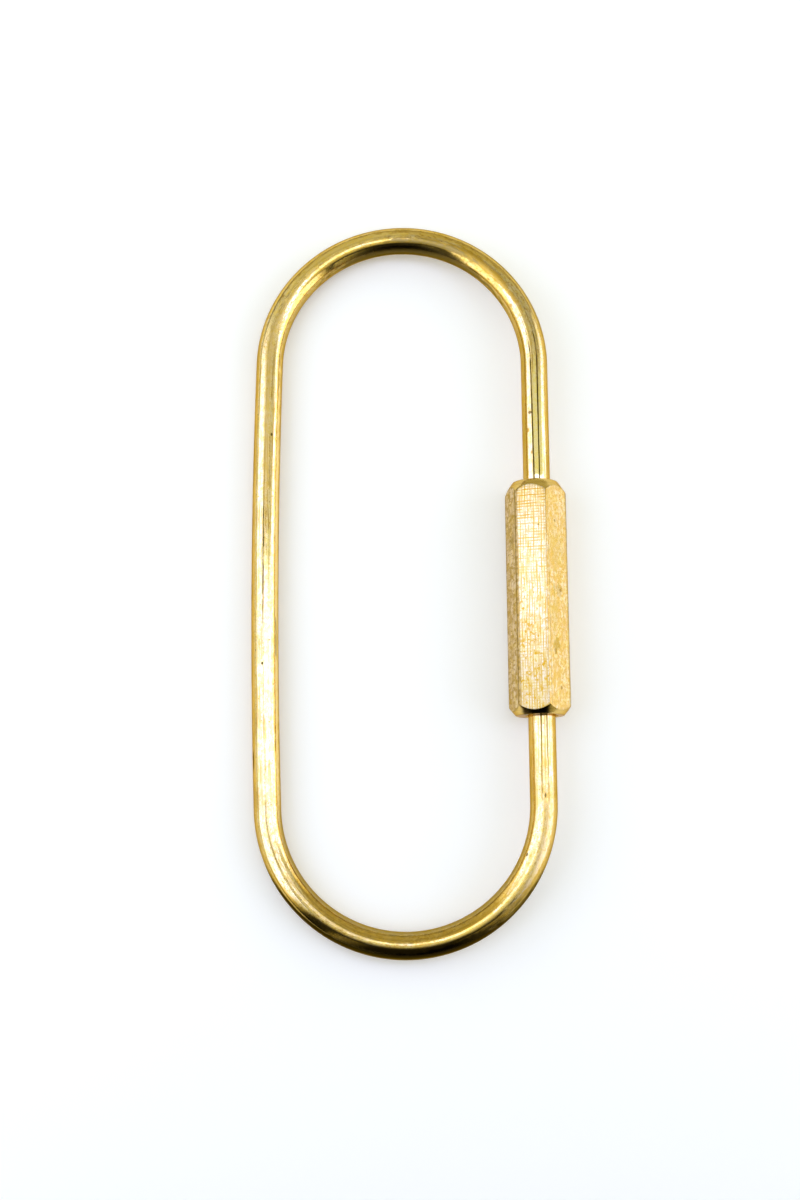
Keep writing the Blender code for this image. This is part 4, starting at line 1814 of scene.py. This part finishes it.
@dataclass
class Studio:
    """The camera, a white floor, a white world and the light tent over the keychain."""

    camera_place: Vector = field(default_factory=lambda: Vector((-8.62, -34.601, 187.113)) * MM)
    pitch: float = math.radians(-9.957)
    yaw: float = math.radians(2.362)
    roll: float = math.radians(0.477)
    lens_in_pixels: float = 1700.0
    frame_height: float = 1200.0
    sensor: float = 36.0  # millimetres
    floor_size: float = 2.0
    floor_lines: int = 5  # each way
    floor_drop: float = 0.02 * MM
    floor_colour: Colour = (0.91, 0.93, 0.95)
    floor_roughness: float = 0.5
    floor_glow: float = 0.12
    tent: LightTent = field(default_factory=LightTent)

    def place_camera(self) -> None:
        """Puts the camera where the photograph was taken, turned by yaw, then pitch, then roll."""
        data = bpy.data.cameras.new("camera")
        data.sensor_width = self.sensor
        data.lens = self.lens_in_pixels / self.frame_height * self.sensor
        data.clip_start = 1 * MM
        camera = bpy.data.objects.new("camera", data)
        turns = [(self.roll, "Z"), (self.pitch, "X"), (self.yaw, "Y")]
        to_camera = Matrix.Identity(3)
        for angle, axis in turns:
            to_camera = to_camera @ Matrix.Rotation(angle, 3, axis)
        camera.matrix_world = Matrix.Translation(self.camera_place) @ to_camera.transposed().to_4x4()
        bpy.context.scene.collection.objects.link(camera)
        bpy.context.scene.camera = camera

    def floor_material(self) -> bpy.types.Material:
        """Builds the floor's white, whose last bit is a faint glow that shading doesn't see.

        Returns:
            The material.
        """
        material = bpy.data.materials.new("white_floor_sheet")
        material.use_nodes = True
        wiring = Wiring(material.node_tree)
        shader = material.node_tree.nodes["Principled BSDF"]
        wiring.feed(shader.inputs["Base Color"], self.floor_colour)
        wiring.feed(shader.inputs["Roughness"], self.floor_roughness)
        path = wiring.add("ShaderNodeLightPath", {}).outputs
        rays = ("Is Camera Ray", "Is Glossy Ray", "Is Transmission Ray")
        seen = wiring.math("MINIMUM", wiring.total(*(path[ray] for ray in rays)), 1.0)
        wiring.feed(shader.inputs["Emission Color"], (1.0, 1.0, 1.0))
        wiring.feed(shader.inputs["Emission Strength"], wiring.product(seen, self.floor_glow))
        return material

    def lay_floor(self) -> None:
        """Lays the floor just under the keychain, as a square of square faces."""
        lines = self.floor_lines
        steps = np.linspace(-self.floor_size / 2, self.floor_size / 2, lines)
        x, y = np.meshgrid(steps, steps)
        corners = np.stack([x, y, np.full_like(x, -self.floor_drop)], axis=-1).reshape(-1, 3)
        grid = np.arange(lines * lines).reshape(lines, lines)
        quads = np.stack([grid[:-1, :-1], grid[:-1, 1:], grid[1:, 1:], grid[1:, :-1]], axis=-1)
        mesh = bpy.data.meshes.new("white_floor")
        mesh.from_pydata(corners, [], quads.reshape(-1, 4).tolist())
        mesh.materials.append(self.floor_material())
        floor = bpy.data.objects.new("white_floor", mesh)
        bpy.context.scene.collection.objects.link(floor)

    def light_world(self) -> None:
        """Makes the world plain white, which every ray that leaves the tent sees alike."""
        world = bpy.data.worlds.new("white_world")
        world.use_nodes = True
        background = world.node_tree.nodes["Background"]
        Wiring(world.node_tree).feed(background.inputs["Color"], (1.0, 1.0, 1.0))
        bpy.context.scene.world = world

    def build(self) -> None:
        """Builds the camera, the floor, the world and the tent."""
        bpy.context.scene.view_settings.view_transform = "Standard"
        self.place_camera()
        self.lay_floor()
        self.light_world()
        for card in self.tent.cards():
            card.build()


def dress(piece: bpy.types.Object, material: bpy.types.Material, body: Body, node: str) -> None:
    """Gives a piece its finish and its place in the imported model.

    Args:
        piece: The finished object.
        material: Its finish.
        body: The body it rides on.
        node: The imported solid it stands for.
    """
    piece.data.materials.append(material)
    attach(piece, body.value)
    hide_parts(node)
    corners = np.array([vertex.co for vertex in piece.data.vertices])
    low, high = (np.array(corner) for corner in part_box(node))
    stands_out = max((low - corners.min(axis=0)).max(), (corners.max(axis=0) - high).max())
    triangles = sum(len(face.vertices) - 2 for face in piece.data.polygons)
    LOG.info("%s: %d triangles, %.3f mm outside its solid's box", piece.name, triangles, stands_out / MM)


def main() -> None:
    """Builds the rod, the sleeve and the studio, in that order."""
    logging.basicConfig(level=logging.INFO, format="%(name)s: %(message)s", stream=sys.stdout)
    for build_group in (build_fine_lines, build_pits, build_tarnish, build_mark, build_hatch):
        build_group()
    plane = LoopPlane()
    rod = BentRod(plane=plane).build()
    dress(rod, DrawnBrass().build(), Body.LOOP, "bent_rod")
    sleeve = HexSleeve(plane=plane).build()
    dress(sleeve, MilledBrass().build(), Body.SLEEVE, "hex_sleeve")
    Studio().build()


if __name__ == "__main__":
    main()
